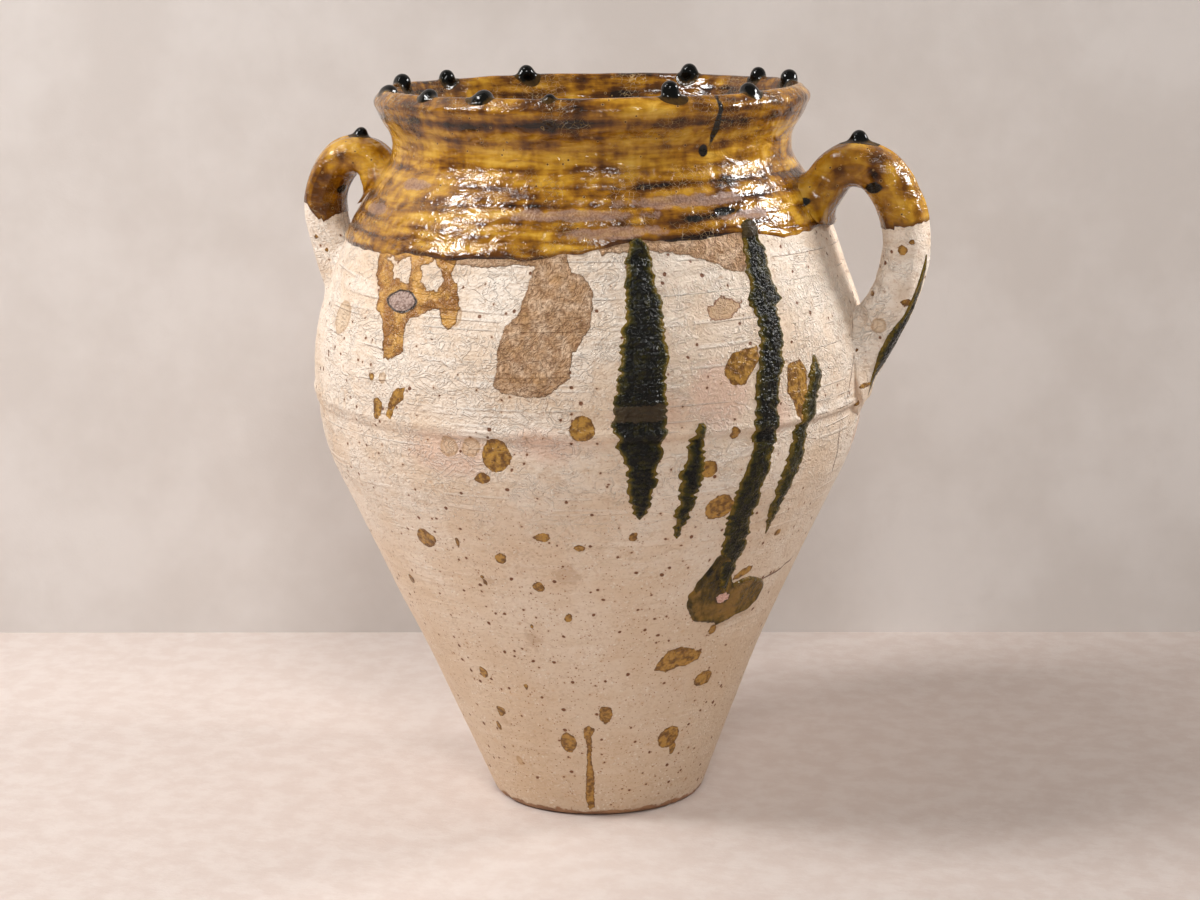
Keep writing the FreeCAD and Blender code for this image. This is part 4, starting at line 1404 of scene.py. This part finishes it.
# %% The pool
def make_pool(rows, columns):
    """A round sheet of rows inside the outline, closed by a plain sheet under it."""
    ways = even_turns(columns)
    reach = pool_reach(ways)
    share = np.linspace(0.02, 1, rows)[:, None]
    sideways = np.cos(ways) * reach * share
    up = pool_height + np.sin(ways) * reach * share
    inside = reach * (1 - share)
    still = np.stack([sideways, up, 0 * up], axis=-1)
    lift = 0.9 * (1 - np.exp(-inside / 0.6)) + 0.45 * hump(inside - 1.8, 1.4)
    lift = lift + 0.18 * lumps(still, 4.0, 102, 2) * eased(inside, 0.3, 1.5) - 0.15
    turn = math.radians(pool_turn) + sideways / pool_radius
    top = wall_point(turn, outside_walk(up), lift)
    bottom = wall_point(turn[::-9], outside_walk(up[::-9]), -0.9)
    depth = 1.6 + 3.0 * hump(inside - 1.0, 1.3) + 1.8 * lumps(still, 6.0, 103, 2)
    depth = np.concatenate([depth, 0 * depth[::-9]])
    both = np.concatenate([turn, turn[::-9]]), np.concatenate([up, up[::-9]])
    depth = depth + 4.0 * eased(oval_field(*both, [dark_streak]), -4.0, 3.0)
    fields = {"depth": depth, "dull": 0 * depth - FIELD_SHIFT, "chip": oval_field(*both, [pink_chip])}
    ends = [top[0].mean(axis=0), bottom[-1].mean(axis=0)]
    make_piece("glaze_pool_spread", np.concatenate([top, bottom]), ["glaze_pool"], pool_glaze,
               ends, fields, flip=True)


make_pool(40, 180)

# %% [markdown]
# ## Pellets of black glaze
#
# Balls of glaze were set on the rim and on the handles, and half melted: a round cap with a skirt that
# ran out over the amber. A ball and the ground under it are two distances, and a smooth minimum of
# the two gives the skirt. Each point of a round patch steps down until it meets that blended shape.

# %% Melt a ball onto the ground
BALL = 3.75              # radius of the ball
BALL_TOP = 4.8           # height of its top
SKIRT = 7.8              # radius of the skirt
SOFT = 3.6               # how widely the ball and the ground melt together


def melted(floor, ray, slant, centre, scale):
    """How far up each ray the blended shape of ball and ground is met."""
    rise = np.full(slant.shape, 9.0 * scale)
    soft = SOFT * scale
    for _ in range(60):
        ball = np.linalg.norm(floor + ray * rise[..., None] - centre, axis=-1) - BALL * scale
        sheet = rise * slant - 0.10
        share = np.clip(0.5 + 0.5 * (sheet - ball) / soft, 0, 1)
        rise = rise - 0.7 * (sheet * (1 - share) + ball * share - soft * share * (1 - share))
    return rise


def make_pellet(name, node, ground, up, scale, lean=0.0, lifted=0.0, rows=38, columns=60):
    """A ball melted onto the ground. The ground gives points for two distances from the pellet."""
    ways = even_turns(columns)[None, :]
    out = (np.linspace(0.03, 1, rows)[:, None] ** 0.9) * SKIRT * scale
    wobble = 0.10 * np.sin(2 * ways + lean) + 0.07 * np.sin(3 * ways + 2 * lean)
    stretch = 1 + wobble * eased(out, 3.0, 6.0)
    right = out * np.cos(ways) * stretch
    ahead = out * np.sin(ways) * stretch
    floor = ground(right, ahead, 0.0)
    leaning = one_long(ground(right, ahead, 1.0) - floor)
    ray = one_long(leaning * 0.35 + up * 0.65)
    centre = ground(np.zeros((1, 1)), np.zeros((1, 1)), 0.0)[0, 0]
    centre = centre + up * ((BALL_TOP - BALL) * scale + lifted)
    rise = melted(floor, ray, (ray * leaning).sum(axis=-1), centre, scale)
    edge = eased(out / scale, SKIRT - 1.4, SKIRT)
    rise = rise * (1 - edge) - 0.45 * edge
    points = floor + ray * rise[..., None]
    depth = np.clip(rise * 6.0, 0, 10.0)
    ends = [points[0].mean(axis=0), centre - up * 6.0 * scale]
    make_piece(name, points, [node], bead_glaze, ends,
               {"depth": depth, "dull": 0 * depth - FIELD_SHIFT}, flip=True)


print("a pellet's skirt is", 2 * SKIRT, "mm across")

# %% Pellets on the rim
RIM_RADIUS = 95.0
WORN_BELOW = 6.5         # a solid pellet lower than this is the one that is worn down


def node_middle(node):
    """The middle of a solid piece and its height, in millimetres."""
    low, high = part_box(node)
    middle = (np.array(low) + np.array(high)) / 2 / METRES
    return middle, float(high.z - low.z) / METRES


# each pellet's small shift from the solid one: along the rim, inward over the crest, up
pellet_shifts = [
    (0, 0, 0), (-3.4, 0, 0), (-3.2, 0, 0), (1.7, 0, 0), (3, 0, 0), (0, 0.5, -0.6), (0, 2.6, -0.6),
    (3.6, 2.4, 0), (3.6, 2.4, 0), (2, 1.2, -0.4), (-3, 1.6, 2.6), (-3.5, 2.2, 0.5)]
for number, (shift, inward, lifted) in enumerate(pellet_shifts, 1):
    middle, tall = node_middle("rim_pellet_%02d" % number)
    turn_here = math.atan2(middle[1], middle[0])
    size = 0.6 if tall < WORN_BELOW else 1.0 + 0.06 * math.sin(number * 2.3)

    def on_rim(right, ahead, lift, turn_here=turn_here, shift=shift, inward=inward):
        return wall_point(turn_here + (right + shift) / RIM_RADIUS, crest_walk + inward - ahead, lift + COAT)

    make_pellet("pellet_%02d" % number, "rim_pellet_%02d" % number, on_rim, np.array([0.0, 0.0, 1.0]), size,
                number * 1.7, lifted)

# %% Pellets on the handles
bead_sizes = {"right": 0.98, "left": 0.8}
bead_shifts = {"right": 0.0, "left": 1.5}          # toward the neck
for side, strap in straps.items():
    middle, tall = node_middle(side + "_handle_pellet")
    shares = np.linspace(0.05, 0.6, 400)
    crown = strap_point(strap, shares, 0.0)
    away = np.abs(np.abs(crown[:, 0]) - abs(middle[0]) + bead_shifts[side])
    below = crown[:, 2] < 300
    share_here = float(shares[np.argmin(away + below * 99)])

    def on_strap(right, ahead, lift, strap=strap, share_here=share_here):
        return strap_point(strap, share_here + right / STRAP_LENGTH, face_turn(ahead), lift + 0.4)

    flat = on_strap(np.array([[0.0, 1.0]]), np.zeros((1, 2)), 0.0)
    risen = on_strap(np.zeros((1, 1)), np.zeros((1, 1)), 1.0)
    upright = one_long(risen[0, 0] - flat[0, 0])
    make_pellet(side + "_handle_bead", side + "_handle_pellet", on_strap, upright, bead_sizes[side])

# %% [markdown]
# ## Ground, wall, light and camera
#
# The jar stands on a pale stone slab before a pale plastered wall, both left plain. A soft lamp with
# a smaller one above it stands far off on the left, like a high window, and another fills the front. A
# faint narrow lamp behind on the right draws a bright edge there. The wall is see-through from behind,
# so the jar can be looked at from every side. The camera uses a long lens from a little above the rim,
# as the reference does.

# %% Ground and wall
WALL_AHEAD = 256.0
WALL_SLANT = 0.046       # the wall's left end is farther off
WALL_SIZE = 2500.0
GROUND_SIZE = 4000.0


def plain_finish(name, light, dark, patch, rough, one_sided=False):
    """A cloudy pale finish. One-sided, it can't be seen from behind."""
    f = Finish(name)
    veins = f.grain(patch * 0.5, 5.0, f.stretched(1.0, 2.0, 1.0), rough=0.66, twist=0.6)
    colour = f.over(
        dark,
        (f.step(f.grain(patch, 4.0, rough=0.62), 0.36, 0.66), light),
        (f.step(veins, 0.56, 0.7) * 0.3, dark))
    shader = f.shader(colour, rough, veins * 0.3 + f.grain(1.2, 3.0) * 0.05)
    if one_sided:
        behind = f.add("ShaderNodeNewGeometry").out("Backfacing")
        clear = f.add("ShaderNodeBsdfTransparent")
        shader = f.add("ShaderNodeMixShader", None, {0: behind, 1: shader, 2: clear})
    return f.close(shader)


def view_frame(x, y, z):
    """From the viewer's own right, ahead and up, in millimetres, to the jar's frame in metres."""
    c, s = math.cos(RIGHT_OF_VIEW), math.sin(RIGHT_OF_VIEW)
    return Vector((x * c - y * s, x * s + y * c, z)) * METRES


def staged_sheet(name, corners, material):
    """A plain sheet that isn't part of the jar."""
    mesh = bpy.data.meshes.new(name)
    mesh.from_pydata([view_frame(*corner) for corner in corners], [], [(0, 1, 2, 3)])
    mesh.materials.append(material)
    sheet = bpy.data.objects.new(name, mesh)
    bpy.context.scene.collection.objects.link(sheet)


slab = plain_finish("pale_slab", (217, 205, 198), (210, 195, 187), 14.0, 0.62)
plaster = plain_finish("pale_plaster", (222, 216, 212), (213, 206, 201), 90.0, 0.8, one_sided=True)
square = [(-1, -1), (1, -1), (1, 1), (-1, 1)]
staged_sheet("ground", [(x * GROUND_SIZE, y * GROUND_SIZE, 0) for x, y in square], slab)
staged_sheet("backdrop", [(x * WALL_SIZE, WALL_AHEAD - x * WALL_SIZE * WALL_SLANT, (y + 1) / 2 * WALL_SIZE)
                          for x, y in square], plaster)
print("stage set")

# %% Lamps and sky
def lamp(name, turn, climb, away, size, watts, middle=(0, 0, 170), spread=180):
    """A soft lamp, wide and tall. Turn 0 is the viewer's side and negative is the viewer's left."""
    a, e = math.radians(turn), math.radians(climb)
    way = (math.sin(a) * math.cos(e), -math.cos(a) * math.cos(e), math.sin(e))
    data = bpy.data.lights.new(name, "AREA")
    data.energy = watts
    data.shape = "RECTANGLE"
    data.size, data.size_y = size
    data.spread = math.radians(spread)
    data.color = (1.0, 0.995, 0.99)
    holder = bpy.data.objects.new(name, data)
    bpy.context.scene.collection.objects.link(holder)
    holder.location = view_frame(*Vector([m + w * away for m, w in zip(middle, way)]))
    aim = view_frame(*middle) - holder.location
    holder.rotation_mode = "QUATERNION"
    holder.rotation_quaternion = aim.to_track_quat("-Z", "Y")


# name, turn, climb, distance, size in metres, watts
lamp("main_softbox", -77, 41, 1900, (0.52, 0.3), 23)
lamp("high_window", -74, 62, 1900, (0.26, 0.26), 4.5)
lamp("front_fill", 6, 38, 2400, (0.5, 0.36), 15)
lamp("edge_lamp", 100, 28, 700, (0.3, 0.15), 0.4, (60, 0, 280), 40)
world = bpy.data.worlds.new("pale_room")
bpy.context.scene.world = world
world.use_nodes = True
sky = world.node_tree.nodes["Background"]
sky.inputs["Color"].default_value = (1.0, 0.972, 0.935, 1.0)
sky.inputs["Strength"].default_value = 0.30
print("lamps:", len(bpy.data.lights))

# %% Camera
eye = Vector((0.291016, -1.086087, 0.407600))
yaw, pitch, roll = math.radians(0.085), math.radians(12.11), math.radians(-0.761)
ahead = Vector((math.sin(yaw) * math.cos(pitch), math.cos(yaw) * math.cos(pitch), -math.sin(pitch)))
level = Vector((math.cos(yaw), -math.sin(yaw), 0.0))
over = level.cross(ahead)
camera_right = level * math.cos(roll) + over * math.sin(roll)
camera_up = over * math.cos(roll) - level * math.sin(roll)
turned = Matrix.Rotation(RIGHT_OF_VIEW, 3, "Z")
columns = [turned @ camera_right, turned @ camera_up, turned @ -ahead]
camera = bpy.data.objects.new("camera", bpy.data.cameras.new("camera"))
bpy.context.scene.collection.objects.link(camera)
camera.data.lens = 72.0
camera.data.clip_start = 0.05
camera.matrix_world = Matrix.Translation(eye) @ Matrix(columns).transposed().to_4x4()
bpy.context.scene.camera = camera
bpy.context.scene.view_settings.view_transform = "Standard"
print("camera", round(camera.data.lens), "mm at", [round(v, 3) for v in eye])
